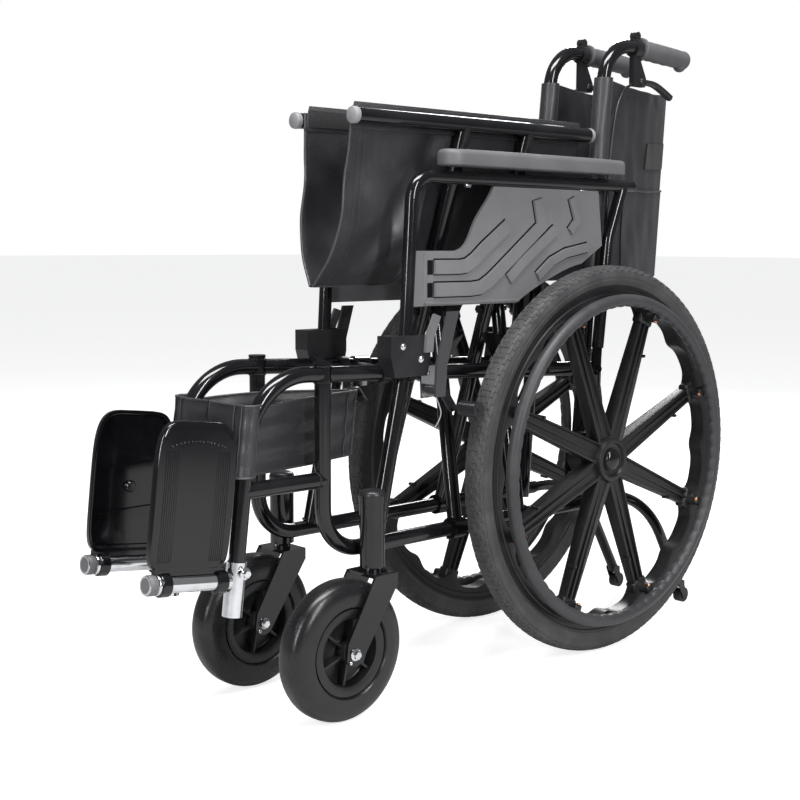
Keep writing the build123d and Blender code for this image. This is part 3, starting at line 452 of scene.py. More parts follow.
def makeTyre(side):
    bm = bmesh.new()
    x, r = wheelSpec["x"], wheelSpec["radius"]
    crown = r - wheelSpec["treadHeight"] - 0.0002
    rows = wheelSpec["treadRows"]
    half = [(rows[0], crown), (rows[1], crown - 0.0003), (rows[2], crown - 0.0013),
            (rows[3], crown - 0.0036), (0.0163, crown - 0.0075), (0.0172, crown - 0.0078),
            (0.0176, crown - 0.0118), (0.0178, crown - 0.0158), (0.0174, crown - 0.0162),
            (0.0168, crown - 0.0205), (0.0173, crown - 0.0209), (0.0171, crown - 0.0218),
            (0.0158, crown - 0.0262), (0.0145, crown - 0.0292)]
    outline = [(x + dx, rr) for dx, rr in half]
    outline += [(x - dx, rr) for dx, rr in reversed(half)]
    lathe(bm, outline, axleY, axleZ, wheelSpec["blocks"])
    bmesh.ops.recalc_face_normals(bm, faces=bm.faces)
    # every other face of each tread row stands up as a block, staggered from row to row
    turn = 2 * math.pi / wheelSpec["blocks"]
    blocks = []
    for face in bm.faces:
        c = face.calc_center_median()
        away = abs(c.x - x)
        radius = math.hypot(c.y - axleY, c.z - axleZ)
        if away > rows[3] + 0.0012 or radius < crown - 0.0075:
            continue
        row = sum(away > edge for edge in rows)
        step = int(round(math.atan2(c.z - axleZ, c.y - axleY) / turn + 0.5))
        if row == 0 or (step + row) % (3 if row == 1 else 2):
            blocks.append(face)
    bmesh.ops.inset_individual(bm, faces=blocks, thickness=0.0005,
                               depth=wheelSpec["treadHeight"], use_even_offset=True)
    makePiece(bm, side, "tyre_tread", "rear_wheel", "tyre", replaced="tyre", sharp=30)


def makeCasting(side):
    # The moulded wheel: a rim with a wavy inner edge, eight channelled spokes and the hub.
    bm = bmesh.new()
    x, inner = wheelSpec["x"], wheelSpec["rimInner"]
    rim = [(0.0138, 0.2745), (0.0138, 0.2705), (0.0118, 0.2688), (0.0112, 0.2618),
           (0.0128, 0.2602), (0.0128, 0.2575), (0.0116, inner), (0.004, inner)]
    outline = [(x + dx, rr) for dx, rr in rim] + [(x - dx, rr) for dx, rr in reversed(rim)]
    lathe(bm, outline, axleY, axleZ, 320)
    step = 360 / wheelSpec["spokes"]
    for vert in bm.verts:
        y, z = vert.co.y - axleY, vert.co.z - axleZ
        r = math.hypot(y, z)
        if r > 0.2585:
            continue
        degrees = (math.degrees(math.atan2(z, y)) - wheelSpec["firstSpoke"]) % step
        off = min(degrees, step - degrees)
        depth = 0.0085 * math.exp(-((off - step / 2) / 4.2) ** 2)
        depth += 0.021 * math.exp(-(off / 4.3) ** 2)
        weight = 1.0 if r < 0.254 else 0.55
        scale = (r - depth * weight) / r
        vert.co.y, vert.co.z = axleY + y * scale, axleZ + z * scale
    # a spoke is a tapered bar with a channel down each face and a rib down its middle
    for angle in spokeAngles():
        turn = Matrix.Rotation(angle, 3, "X")
        bar = block(bm, (x - 0.0125, axleY + 0.026, axleZ - 0.5),
                    (x + 0.0125, axleY + 0.2485, axleZ + 0.5))
        for vert in bar:
            t = (vert.co.y - axleY - 0.026) / 0.2225
            wide = 0.0165 + (0.0118 - 0.0165) * t
            vert.co.z = axleZ + (wide if vert.co.z > axleZ else -wide)
            vert.co.x = x + 0.001 * (1 - t) + math.copysign(0.0125 - 0.0048 * t, vert.co.x - x)
        faces = [f for f in {f for v in bar for f in v.link_faces} if abs(f.normal.x) > 0.9]
        edges = [e for e in {e for v in bar for e in v.link_edges}
                 if abs(e.verts[0].co.y - e.verts[1].co.y) > 0.1]
        bmesh.ops.inset_region(bm, faces=faces, thickness=0.0032, depth=0.0,
                               use_even_offset=True)
        bmesh.ops.inset_region(bm, faces=faces, thickness=0.0016, depth=-0.0044,
                               use_even_offset=True)
        roundEdges(bm, edges, 0.0016, 2)
        bar = connected(bar)
        bar += block(bm, (x - 0.009, axleY + 0.03, axleZ - 0.0017),
                     (x + 0.009, axleY + 0.24, axleZ + 0.0017))
        # the lug that once gated the mould, half-way out, and the boss that carries the hand rim
        for place, foot, top, deep, count in (
                ((x + 0.006, axleY + 0.178, axleZ - 0.0135), 0.0034, 0.0026, 0.014, 14),
                ((x + 0.0135, axleY + 0.2395, axleZ), 0.0098, 0.0082, 0.02, 24)):
            stud = bmesh.ops.create_cone(bm, cap_ends=True, segments=count, radius1=foot,
                                         radius2=top, depth=deep)["verts"]
            bmesh.ops.rotate(bm, matrix=Matrix.Rotation(math.pi / 2, 3, "Y"), verts=stud)
            bmesh.ops.translate(bm, vec=place, verts=stud)
            bar += stud
        gusset = block(bm, (x - 0.009, axleY + 0.226, axleZ - 0.0165),
                       (x + 0.0095, axleY + 0.254, axleZ + 0.0165), bevel=0.004, segments=3)
        bmesh.ops.rotate(bm, cent=(x, axleY, axleZ), matrix=turn, verts=bar + gusset)
    hub = wheelSpec["hubRadius"]
    lathe(bm, [(0.108, 0.0062), (0.108, 0.029), (0.1095, hub - 0.001), (0.1125, hub),
               (0.143, hub), (0.1462, hub - 0.0012), (0.1468, hub - 0.004),
               (0.1466, hub - 0.0075), (0.1425, hub - 0.0095), (0.1418, 0.0225),
               (0.1418, 0.0188), (0.1446, 0.0182), (0.1446, 0.0062)], axleY, axleZ, 64)
    makePiece(bm, side, "wheel_casting", "rear_wheel", "casting",
              replaced="wheel", sharp=34)
    cap = bmesh.new()
    lathe(cap, [(0.1405, 0.0), (0.1405, 0.0168), (0.1449, 0.0168), (0.1468, 0.0158),
                (0.1488, 0.0128), (0.1502, 0.0088), (0.1509, 0.004), (0.151, 0.0)],
          axleY, axleZ, 48, False)
    makePiece(cap, side, "hub_cap", "rear_wheel", "gloss", sharp=50)


def makeHandRim(side):
    # A soft-faced hand rim with finger waves inside.
    bm = bmesh.new()
    tube, ring = wheelSpec["handRimTube"], wheelSpec["handRimRadius"]
    outline = [(wheelSpec["handRimX"] + tube * math.cos(a), ring + tube * math.sin(a))
               for a in (math.radians(20 + 360 * i / 18) for i in range(18))]
    lathe(bm, outline, axleY, axleZ, wheelSpec["bumps"] * 6)
    for vert in bm.verts:
        y, z = vert.co.y - axleY, vert.co.z - axleZ
        r = math.hypot(y, z)
        inward = max(0.0, (ring - r) / tube)
        wave = abs(math.sin(math.atan2(z, y) * wheelSpec["bumps"] / 2))
        scale = (r + inward * 0.0022 * (1 - wave) ** 1.6) / r
        vert.co.y, vert.co.z = axleY + y * scale, axleZ + z * scale
    makePiece(bm, side, "hand_rim_cover", "rear_wheel", "rim", replaced="hand_rim",
              sharp=50)
    feet, screws = bmesh.new(), bmesh.new()
    face = wheelSpec["x"] + 0.022
    for angle in spokeAngles():
        turn = Matrix.Rotation(angle, 3, "X")
        foot = block(feet, (face - 0.004, axleY + 0.2325, axleZ - 0.0075),
                     (wheelSpec["handRimX"] - 0.004, axleY + 0.2485, axleZ + 0.0075),
                     bevel=0.0028, segments=3)
        bmesh.ops.rotate(feet, cent=(0, axleY, axleZ), matrix=turn, verts=foot)
        inward = turn @ Vector((0, -1, 0))
        spot = Vector((face + 0.004, axleY, axleZ)) - inward * 0.2325
        screwHead(screws, spot, inward, 0.0033)
    makePiece(feet, side, "hand_rim_feet", "rear_wheel", "casting")
    makePiece(screws, side, "hand_rim_screws", "rear_wheel", "copper")


for side in sides:
    makeTyre(side)
    makeCasting(side)
    makeHandRim(side)
print("rear wheels made")


# ---- casters

casterSpec = {"x": 0.100, "y": -0.2736, "radius": 0.0975, "half": 0.024, "hub": 0.062,
              "ribs": 6}


def makeCaster(side):
    x, y, r = casterSpec["x"], casterSpec["y"], casterSpec["radius"]
    half, hub = casterSpec["half"], casterSpec["hub"]
    tyre = bmesh.new()
    arc = []
    for i in range(25):
        a = math.radians(-90 + 180 * i / 24)
        arc.append((x + (half - 0.0004) * math.copysign(abs(math.sin(a)) ** 0.72, a),
                    hub + 0.0015 + (r - hub - 0.0016) * math.cos(a) ** 0.62))
    seam = [(x + dx, rr) for dx, rr in ((0.0185, hub - 0.0015), (0.0, hub - 0.003),
                                       (-0.0185, hub - 0.0015))]
    lathe(tyre, arc + seam, y, r, 128)
    makePiece(tyre, side, "caster_tyre", "caster", "solidTyre", sharp=40)
    wheel = bmesh.new()
    rim = [(0.019, hub - 0.002), (0.0212, hub - 0.0022), (0.0216, hub - 0.004),
           (0.0204, hub - 0.0135), (0.0196, hub - 0.0152), (0.0176, hub - 0.0158),
           (0.004, hub - 0.0172), (0.0028, hub - 0.019), (0.0026, 0.017), (0.004, 0.0146),
           (0.0222, 0.0132), (0.023, 0.0122), (0.023, 0.0054)]
    outline = [(x + dx, rr) for dx, rr in rim] + [(x - dx, rr) for dx, rr in reversed(rim)]
    lathe(wheel, outline, y, r, 96)
    for i in range(casterSpec["ribs"]):
        rib = block(wheel, (x - 0.0168, y + 0.012, r - 0.0016), (x + 0.0168, y + 0.047, r + 0.0016))
        for vert in rib:
            if vert.co.y > y + 0.03:
                vert.co.x = x + (vert.co.x - x) * 0.92
        bmesh.ops.rotate(wheel, cent=(x, y, r), verts=rib,
                         matrix=Matrix.Rotation(math.radians(20 + 60 * i), 3, "X"))
    makePiece(wheel, side, "caster_hub", "caster", "casting",
              replaced="caster_wheel", sharp=34)
    bolts = bmesh.new()
    cheek = half + 0.0065
    for edge in (-1, 1):
        boltHead(bolts, (x + edge * (cheek - 0.0003), y, r), (edge, 0, 0), 0.0062, 0.0075)
        screwHead(bolts, (x + edge * (cheek - 0.0003), y - 0.0075, r - 0.0105), (edge, 0, 0),
                  0.0026)
    stem = Vector((x, stemY, 0.197))
    turned(bolts, [(0, 0.0), (0, 0.0115), (0.0035, 0.0115), (0.0037, 0.0102), (0.0068, 0.0102),
                   (0.0068, 0.0)], stem, up, 6)
    makePiece(bolts, side, "fork_bolts", "fork", "chrome")


for side in sides:
    makeCaster(side)
print("casters made")


# ---- armrests: foam pad, embossed side panel, screws

panelSpec = {"face": 0.0905, "raise": 0.0034, "edge": 0.0011,
             # each band runs along a line of (y, z) and has its own width
             "bands": [
                 (0.0205, [(-0.0935, 0.6090), (-0.0420, 0.6090), (-0.0290, 0.6105),
                           (-0.0130, 0.6190), (0.0080, 0.6350), (0.0590, 0.6690)]),
                 (0.0205, [(-0.0935, 0.5772), (-0.0180, 0.5772), (0.0010, 0.5790),
                           (0.0190, 0.5880), (0.0380, 0.6010), (0.1330, 0.6690),
                           (0.1230, 0.7090)]),
                 (0.0175, [(0.0600, 0.5900), (0.0860, 0.6110), (0.1180, 0.6330),
                           (0.1660, 0.6640)]),
                 (0.0150, [(0.1250, 0.5930), (0.1560, 0.6150), (0.1900, 0.6280),
                           (0.2440, 0.6370)]),
                 (0.0140, [(0.2020, 0.7130), (0.2160, 0.6780), (0.1990, 0.6610)])],
             # dark patches at the left ends of two bands, as (y, z, height): painted shade of deep
             # recesses
             "paintedPocketShade": [(-0.1010, 0.6090, 0.0205), (-0.1010, 0.5772, 0.0205)]}


def bandStrip(bm, width, points, x, height, edge):
    # A raised strip of even width along a line in the panel's plane, with sloping sides.
    line = [Vector((x, y, z)) for y, z in points]
    out = Vector((1, 0, 0))
    loops = []
    for i, point in enumerate(line):
        before = (point - line[i - 1]).normalized() if i else None
        after = (line[i + 1] - point).normalized() if i < len(line) - 1 else None
        along = ((before or after) + (after or before)).normalized()
        side = out.cross(along)
        stretch = 1 / max(0.6, side.dot(out.cross(after or before)))
        half = width / 2 * stretch
        end = along * (edge if i == 0 else -edge if after is None else 0)
        loops.append([bm.verts.new(point - side * half - out * 0.002),
                      bm.verts.new(point - side * half),
                      bm.verts.new(point - side * (half - edge) + out * height + end),
                      bm.verts.new(point + side * (half - edge) + out * height + end),
                      bm.verts.new(point + side * half),
                      bm.verts.new(point + side * half - out * 0.002)])
    rings = []
    for loop in loops:
        rings.append([bm.edges.new((loop[k], loop[(k + 1) % 6])) for k in range(6)])
    for a, b in zip(rings, rings[1:]):
        bmesh.ops.bridge_loops(bm, edges=a + b)
    bmesh.ops.holes_fill(bm, edges=rings[0] + rings[-1], sides=6)


padSpec = {"rise": 0.0022, "round": 0.0075, "pinch": 0.0007}


def makePad(side):
    # Moulded foam armrest pad: crowned along its top, round at the front end.
    low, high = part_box("left_arm_pad")
    foot = high[2] - 0.024
    bm = bmesh.new()
    made = bmesh.ops.create_cube(bm, size=1.0)["verts"]
    bmesh.ops.scale(bm, verts=made, vec=(high[0] - low[0], high[1] - low[1], high[2] - foot))
    bmesh.ops.translate(bm, verts=made, vec=((low[0] + high[0]) / 2, (low[1] + high[1]) / 2,
                                             (foot + high[2]) / 2))
    corners = [e for e in bm.edges if abs(e.verts[0].co.z - e.verts[1].co.z) > 0.02]
    front = [e for e in corners if e.verts[0].co.y < 0]
    rear = [e for e in corners if e.verts[0].co.y > 0]
    for edges, size, steps in ((front, 0.0205, 12), (rear, 0.009, 6)):
        roundEdges(bm, edges, size, steps)
    top = [e for e in bm.edges if min(v.co.z for v in e.verts) > high[2] - 0.0001]
    roundEdges(bm, top, padSpec["round"], 6, 0.55)
    under = [e for e in bm.edges if max(v.co.z for v in e.verts) < foot + 0.0001]
    roundEdges(bm, under, 0.0022, 3)
    long = [e for e in bm.edges if abs(e.verts[0].co.y - e.verts[1].co.y) > 0.1]
    bmesh.ops.subdivide_edges(bm, edges=long, cuts=40, use_grid_fill=True)
    middle, length = (low[0] + high[0]) / 2, high[1] - low[1]
    for vert in bm.verts:
        across = (vert.co.x - middle) / ((high[0] - low[0]) / 2)
        along = (vert.co.y - low[1]) / length
        t = (vert.co.z - foot) / (high[2] - foot)
        crown = (1 - across ** 2) * padSpec["rise"] - padSpec["rise"]
        if t > 0.6:
            vert.co.z += crown * t - 0.0012 * (2 * along - 1) ** 6
        ripple = noise.noise(Vector((vert.co.y * 24, across, 3.0))) * padSpec["pinch"]
        vert.co.x += ripple * math.copysign(1, across) * (1 - abs(2 * t - 1)) - \
            math.copysign(0.0007, across)
    pad = makePiece(bm, side, "arm_cushion", "armrest", "pad", replaced="arm_pad", sharp=50)


def makePanelTrim(side):
    bm = bmesh.new()
    for width, points in panelSpec["bands"]:
        bandStrip(bm, width, points, panelSpec["face"], panelSpec["raise"], panelSpec["edge"])
    # a raised lip along the panel's foot and its front edge
    for lip in ([(-0.1130, 0.5585), (0.0860, 0.5585)], [(-0.1120, 0.5570), (-0.1105, 0.6290)]):
        bandStrip(bm, 0.0045, lip, panelSpec["face"], 0.0014, 0.0008)
    makePiece(bm, side, "panel_bands", "armrest", "panel", sharp=25)
    # near-black gloss patches at two bands' left ends, and a dark strip behind every band shifted back
    # and up so it shows thickest on one side: painted shade of recesses and painted shadows along the
    # bands' edges
    paintedShadows = bmesh.new()
    for y, z, tall in panelSpec["paintedPocketShade"]:
        block(paintedShadows, (panelSpec["face"] - 0.001, y - 0.0048, z - tall / 2),
              (panelSpec["face"] + 0.0004, y + 0.0062, z + tall / 2), bevel=0.0003, segments=1)
    for width, points in panelSpec["bands"]:
        shadowLine = [(y - 0.0009, z + 0.0005) for y, z in points]
        bandStrip(paintedShadows, width + 0.0034, shadowLine, panelSpec["face"], 0.0004, 0.0002)
    makePiece(paintedShadows, side, "panel_painted_shadows", "armrest", "gloss")
    low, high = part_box("left_arm_pad")
    bolts = bmesh.new()
    tubeUnder = 0.735 - 0.0093
    for y in (low[1] + 0.062, high[1] - 0.070):
        boltHead(bolts, (0.088, y, tubeUnder), (0, 0, -1), 0.0044, 0.0045)
    boltHead(bolts, (0.0905, 0.2945, 0.6235), (1, 0, 0), 0.0048, 0.005)
    makePiece(bolts, side, "armrest_screws", "armrest", "chrome")


for side in sides:
    makePad(side)
    makePanelTrim(side)
print("armrests made")


# ---- push grips

gripSpec = {"x": 0.056, "start": 0.4104, "end": 0.5344, "drop": 0.06, "radius": 0.0158}


def makeGrip(side):
    along = Vector((0, 1, -gripSpec["drop"])).normalized()
    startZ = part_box("left_grip")[1][2] - 0.019
    start = Vector((gripSpec["x"], gripSpec["start"], startZ))
    length = (gripSpec["end"] - gripSpec["start"]) * 1.0018
    r = gripSpec["radius"]
    bm = bmesh.new()
    outline = [(0.0, 0.0112), (0.0, 0.0178), (0.0012, 0.0188), (0.0042, 0.0188),
               (0.0054, 0.0176), (0.0066, 0.0150), (0.0100, 0.0146)]
    for i in range(22):
        t = i / 21
        swell = 0.0149 + 0.0009 * math.sin(math.pi * min(1, t * 1.15)) + 0.0004 * (i % 2)
        outline.append((0.012 + t * (length - 0.030), min(r, swell)))
    outline += [(length - 0.014, 0.0150), (length - 0.0105, 0.0156), (length - 0.0040, 0.0158),
                (length - 0.0012, 0.0150), (length - 0.0001, 0.0128), (length, 0.0112),
                (length, 0.0)]
    turned(bm, outline, start, along, 48)
    # finger lobes on the underside and the turned-down lip at the end
    for vert in bm.verts:
        h = (vert.co - start).dot(along)
        off = vert.co - start - along * h
        down = -off.z / max(off.length, 0.0001)
        if down > 0 and 0.012 < h < length - 0.014:
            off *= 1 - 0.055 * down ** 2 * (0.5 + 0.5 * math.cos((h - 0.012) / 0.0235 * 2 * math.pi))
        vert.co = start + along * h + off
    lip = bmesh.ops.create_icosphere(bm, subdivisions=3, radius=0.0108)["verts"]
    bmesh.ops.scale(bm, vec=(1.05, 0.95, 1.0), verts=lip)
    bmesh.ops.translate(bm, vec=start + along * (length - 0.0112) - up * 0.0098, verts=lip)
    # rows of round bumps for the palm
    for row in range(-2, 3):
        for i in range(15):
            h = 0.024 + i * 0.0056
            lean = math.radians(row * 17)
            normal = Vector((math.sin(lean), 0, math.cos(lean)))
            ball(bm, start + along * h + normal * (r - 0.0008), 0.0014, 1)
    makePiece(bm, side, "push_grip", "frame", "grip", replaced="grip", sharp=40)


def makeHandLever(side):
    # The brake lever under the grip: a boss at its pin, an arched blade and a ball at the tip.
    low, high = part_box("left_hand_lever")
    x, z = (low[0] + high[0]) / 2, 0.908
    pin = Vector((x, 0.4164, z))
    tip = Vector((x, high[1] - 0.0055, low[2] + 0.008))
    bm = bmesh.new()
    turned(bm, [(0.0, 0.0), (0.0, 0.0062), (0.0012, 0.0074), (0.0138, 0.0074), (0.015, 0.0062),
                (0.015, 0.0)], pin - Vector((0.0075, 0, 0)), (1, 0, 0), 28)
    arch = [pin, pin + Vector((0, 0.020, 0.0010)), pin + Vector((0, 0.046, -0.0030)), tip]
    for off in (-0.0034, 0.0, 0.0034):
        rod(bm, [p + Vector((off, 0, 0)) for p in arch], 0.0042, 5)
    ball(bm, tip, 0.0056, 3)
    makePiece(bm, side, "lever_blade", "hand_lever", "black",
              replaced="hand_lever", sharp=50)


for side in sides:
    makeGrip(side)
    makeHandLever(side)
print("grips made")


# ---- sheets of cloth

def clothSheet(side, shape, across, down, thick):
    # shape(u, v) gives a place in the left half for u along and v down, both from 0 to 1.
    bm = bmesh.new()
    bmesh.ops.create_grid(bm, x_segments=across, y_segments=down, size=0.5)
    for vert in bm.verts:
        vert.co = shape(vert.co.x + 0.5, 0.5 - vert.co.y)
    if side == "right":
        bmesh.ops.scale(bm, vec=(-1, 1, 1), verts=bm.verts)
    bmesh.ops.recalc_face_normals(bm, faces=bm.faces)
    area = sum(face.calc_area() for face in bm.faces)
    bmesh.ops.solidify(bm, geom=bm.faces[:], thickness=thick)
    bmesh.ops.recalc_face_normals(bm, faces=bm.faces)
    return bm, area


def edgeLine(shape, u=None, v=None, steps=40, lift=(0, 0, 0)):
    # Places along one line of a sheet, a little off its surface.
    line = []
    for i in range(steps + 1):
        t = i / steps
        line.append(shape(t if u is None else u, t if v is None else v) + Vector(lift))
    return line


def pathPoint(points, t):
    # A place part-way along a line of (x, z) points, by length.
    runs = [math.dist(a, b) for a, b in zip(points, points[1:])]
    at = min(max(t, 0.0), 1.0) * sum(runs)
    for (a, b), run in zip(zip(points, points[1:]), runs):
        if at <= run or (a, b) == (points[-2], points[-1]):
            k = min(1.0, at / run)
            return a[0] + (b[0] - a[0]) * k, a[1] + (b[1] - a[1]) * k
        at -= run


def eased(points, t, reach=0.06):
    # The mean of nearby places along the line, so that its corners are round.
    near = [pathPoint(points, t + reach * k / 3) for k in range(-3, 4)]
    if t < reach or t > 1 - reach:
        near = [pathPoint(points, t + min(reach, t, 1 - t) * k / 3) for k in range(-3, 4)]
    return sum(p[0] for p in near) / 7, sum(p[1] for p in near) / 7


seatSpec = {
    "front": -0.2095, "back": 0.270, "thick": 0.0016,
    # profiles from the rail to the fold in the middle, ahead of the braces and between them
    "ahead": [(0.0500, 0.8230), (0.0485, 0.8020), (0.0472, 0.7600), (0.0455, 0.7000),
              (0.0410, 0.6560), (0.0270, 0.6180), (0.0110, 0.5950), (0.0030, 0.5830)],
    "between": [(0.0490, 0.8230), (0.0455, 0.8000), (0.0350, 0.7540), (0.0235, 0.7030),
                (0.0130, 0.6580), (0.0052, 0.6300), (0.0033, 0.6200), (0.0033, 0.6120)],
    "braceStart": -0.040, "ease": 0.045,
}


def seatShape(u, v):
    y = seatSpec["front"] + (seatSpec["back"] - seatSpec["front"]) * u
    ahead, between = eased(seatSpec["ahead"], v), eased(seatSpec["between"], v)
    k = min(1.0, max(0.0, (y - seatSpec["braceStart"] + seatSpec["ease"]) / seatSpec["ease"]))
    k = k * k * (3 - 2 * k)
    x = ahead[0] + (between[0] - ahead[0]) * k
    z = ahead[1] + (between[1] - ahead[1]) * k
    # the front hem sweeps forward as it goes down, and slack cloth ripples towards the fold
    y -= 0.030 * (1 - u) ** 3 * v ** 1.6
    slack = math.sin(math.pi * min(1.0, v * 1.05)) * (1 - 0.75 * k)
    ripple = noise.noise(Vector((y * 9 + v * 2.2, v * 1.7, 1.3)))
    fold = noise.noise(Vector((y * 17 - v * 4.0, v * 3.1, 7.7)))
    x += slack * (0.0060 * ripple + 0.0034 * fold)
    # one deep fold slants from the rail down to the front corner
    off = (u - 0.36 + 0.30 * v) / 0.045
    x -= 0.0080 * math.sin(math.pi * v) * (math.exp(-off * off) - 0.6 * math.exp(-(off - 1.9) ** 2))
    return Vector((max(0.0026, min(x, 0.0492)), y, z))


def makeSeat(side):
    brace = braces[side]
    bm, area = clothSheet(side, seatShape, 120, 60, seatSpec["thick"])
    cloth = makePiece(bm, side, "seat_cloth", "seat", "cloth", replaced="seat_half",
                      sharp=60, mirror=False)
    length = seatSpec["back"] - seatSpec["front"]
    round(area / length, 3)
    seams = bmesh.new()
    out = (0.0015, 0, 0)
    rod(seams, edgeLine(seatShape, u=0.0, lift=(0.0004, -0.0006, 0)), 0.0019)
    rod(seams, edgeLine(seatShape, v=1.0, lift=(0.0002, 0, -0.0004)), 0.0014)
    stitches(seams, edgeLine(seatShape, u=0.035, lift=out))
    stitches(seams, edgeLine(seatShape, u=0.055, lift=out))
    makePiece(seams, side, "seat_piping", "seat", "piping", sharp=60)
    # the doubled band that wraps the rail stands a little above it
    band = bmesh.new()
    block(band, (0.0468, seatSpec["front"] - 0.004, 0.7975), (0.0492, seatSpec["back"], 0.8330),
          bevel=0.0009)
    for vert in band.verts:
        lean = (vert.co.z - 0.7975) / 0.0355
        vert.co.y += 0.010 * lean if vert.co.y < 0 else 0
    rows = bmesh.new()
    for z in (0.8015, 0.8290):
        stitches(rows, [(0.0496, seatSpec["front"] + 0.014, z), (0.0496, seatSpec["back"] - 0.006, z)])
    makePiece(band, side, "rail_band", brace, "cloth", sharp=40)
    makePiece(rows, side, "rail_stitches", brace, "thread", sharp=60)
    tape = bmesh.new()
    block(tape, (0.0449, seatSpec["front"] + 0.004, 0.8035), (0.0470, seatSpec["back"] - 0.01, 0.8275),
          bevel=0.0006)
    makePiece(tape, side, "rail_tape", brace, "hook", sharp=40)


backSpec = {"caneX": 0.056, "caneFoot": 0.2644, "lean": 0.08, "footZ": 0.226, "low": 0.582,
            "high": 0.905, "reach": 0.2460, "thick": 0.0016, "start": 0.0165}


def caneY(z):
    return backSpec["caneFoot"] + backSpec["lean"] * (z - backSpec["footZ"])


def backShape(u, v):
    # u runs from the cane to the fold in the middle, v from the top hem down.
    z = backSpec["high"] + (backSpec["low"] - backSpec["high"]) * v
    inward = math.asin((backSpec["caneX"] - 0.0030) / backSpec["reach"])
    reach = backSpec["start"] + (backSpec["reach"] - backSpec["start"]) * u
    bulge = 0.0150 * math.sin(math.pi * u) * (0.75 + 0.25 * math.cos(v * 5.0))
    crease = noise.noise(Vector((u * 3.1 + v * 1.4, v * 3.3, 4.1)))
    pucker = noise.noise(Vector((u * 9.0, v * 5.5 - u * 3, 9.4)))
    free = math.sin(math.pi * min(1.0, u * 1.02))
    off = bulge + free * (0.0065 * crease + 0.0030 * pucker)
    x = backSpec["caneX"] - math.sin(inward) * reach + off * math.cos(inward)
    y = caneY(z) + math.cos(inward) * reach + off * math.sin(inward) * 0.3
    sag = -0.010 * math.sin(math.pi * u) * (1 - v)
    return Vector((max(0.0030, x), y, z + sag - 0.004 * u * (1 - v)))


def makeBack(side):
    bm, area = clothSheet(side, backShape, 90, 90, backSpec["thick"])
    cloth = makePiece(bm, side, "back_cloth", "back", "cloth", replaced="back_half",
                      sharp=60, mirror=False)
    tall = backSpec["high"] - backSpec["low"]
    round(area / tall, 3)
    trim = bmesh.new()
    out = (0.0014, 0, 0)
    rod(trim, edgeLine(backShape, v=0.0), 0.0019)
    rod(trim, edgeLine(backShape, v=1.0), 0.0017)
    rod(trim, edgeLine(backShape, u=1.0, lift=(0, 0.0004, 0)), 0.0015)
    makePiece(trim, side, "back_piping", "back", "piping", sharp=60)
    rows = bmesh.new()
    for v in (0.028, 0.965):
        stitches(rows, edgeLine(backShape, v=v, lift=out))
    for u in (0.05, 0.62):
        stitches(rows, edgeLine(backShape, u=u, lift=out))
    makePiece(rows, side, "back_stitches", "back", "thread", sharp=60)

    def onBack(u0, u1, v0, v1, off):
        return lambda u, v: backShape(u0 + (u1 - u0) * u, v0 + (v1 - v0) * v) + \
            Vector((off, 0.0004, 0))
    patch, _ = clothSheet(side, onBack(0.60, 0.985, 0.26, 0.40, 0.0024), 24, 10, 0.0016)
    makePiece(patch, side, "back_tape", "back", "hook", sharp=50, mirror=False)
    pocket, _ = clothSheet(side, onBack(0.30, 0.99, 0.52, 0.985, 0.0032), 30, 26, 0.0014)
    makePiece(pocket, side, "back_pocket", "back", "cloth", sharp=50, mirror=False)
    lip = bmesh.new()
    rod(lip, edgeLine(onBack(0.30, 0.99, 0.52, 0.985, 0.0048), v=0.0), 0.0018)
    makePiece(lip, side, "pocket_piping", "back", "piping", sharp=60)
    # the sleeve that the cane runs up through
    sleeve = bmesh.new()
    sleeveTall = round(tall + 0.004, 3)
    bmesh.ops.create_cone(sleeve, cap_ends=False, segments=40, radius1=0.0145, radius2=0.0138,
                          depth=sleeveTall)
    bmesh.ops.subdivide_edges(sleeve, edges=[e for e in sleeve.edges if abs(
        e.verts[0].co.z - e.verts[1].co.z) > 0.1], cuts=60, use_grid_fill=True)
    middle = (backSpec["high"] + backSpec["low"]) / 2
    for vert in sleeve.verts:
        z = vert.co.z + middle
        angle = math.atan2(vert.co.y, vert.co.x)
        loose = 1 + 0.085 * noise.noise(Vector((math.cos(angle), math.sin(angle), z * 14)))
        slack = 1 + 0.22 * max(0.0, math.sin(angle)) ** 3
        vert.co = Vector((backSpec["caneX"] + vert.co.x * loose,
                          caneY(z) + vert.co.y * loose * slack, z))
    bmesh.ops.recalc_face_normals(sleeve, faces=sleeve.faces)
    area = sum(face.calc_area() for face in sleeve.faces)
    bmesh.ops.solidify(sleeve, geom=sleeve.faces[:], thickness=-0.0012)
    made = makePiece(sleeve, side, "cane_sleeve", "frame", "cloth", sharp=60)
    round(area / sleeveTall, 3)


strapSpec = {"low": 0.346, "high": 0.437, "thick": 0.0018, "reach": 0.2485,
             "start": 0.0150, "channels": 3}


hangerSpec = {"y": -0.3956, "z": 0.4746, "lean": 0.119, "wrap": 0.0132}


def hangerY(z):
    return hangerSpec["y"] - hangerSpec["lean"] * (hangerSpec["z"] - z)


def strapFrontShape(u, v):
    # From the middle of the chair, across the front of the hanger and round its outer side.
    z = strapSpec["high"] + (strapSpec["low"] - strapSpec["high"]) * v
    y, r = hangerY(z), hangerSpec["wrap"]
    flat, around = frameX - 0.0020, math.pi * r
    run = u * (flat + around)
    padding = 0.0012 * math.cos(v * 2 * math.pi * strapSpec["channels"])
    if run < flat:
        sag = 0.0030 * math.sin(math.pi * run / flat)
        wrinkle = 0.0012 * noise.noise(Vector((run * 30, v * 3, 2.0)))
        return Vector((0.0020 + run, y - r - sag + padding * 0.6 + wrinkle, z))
    angle = (run - flat) / r
    return Vector((frameX + math.sin(angle) * (r + padding * 0.4),
                   y - math.cos(angle) * (r + padding * 0.4), z))


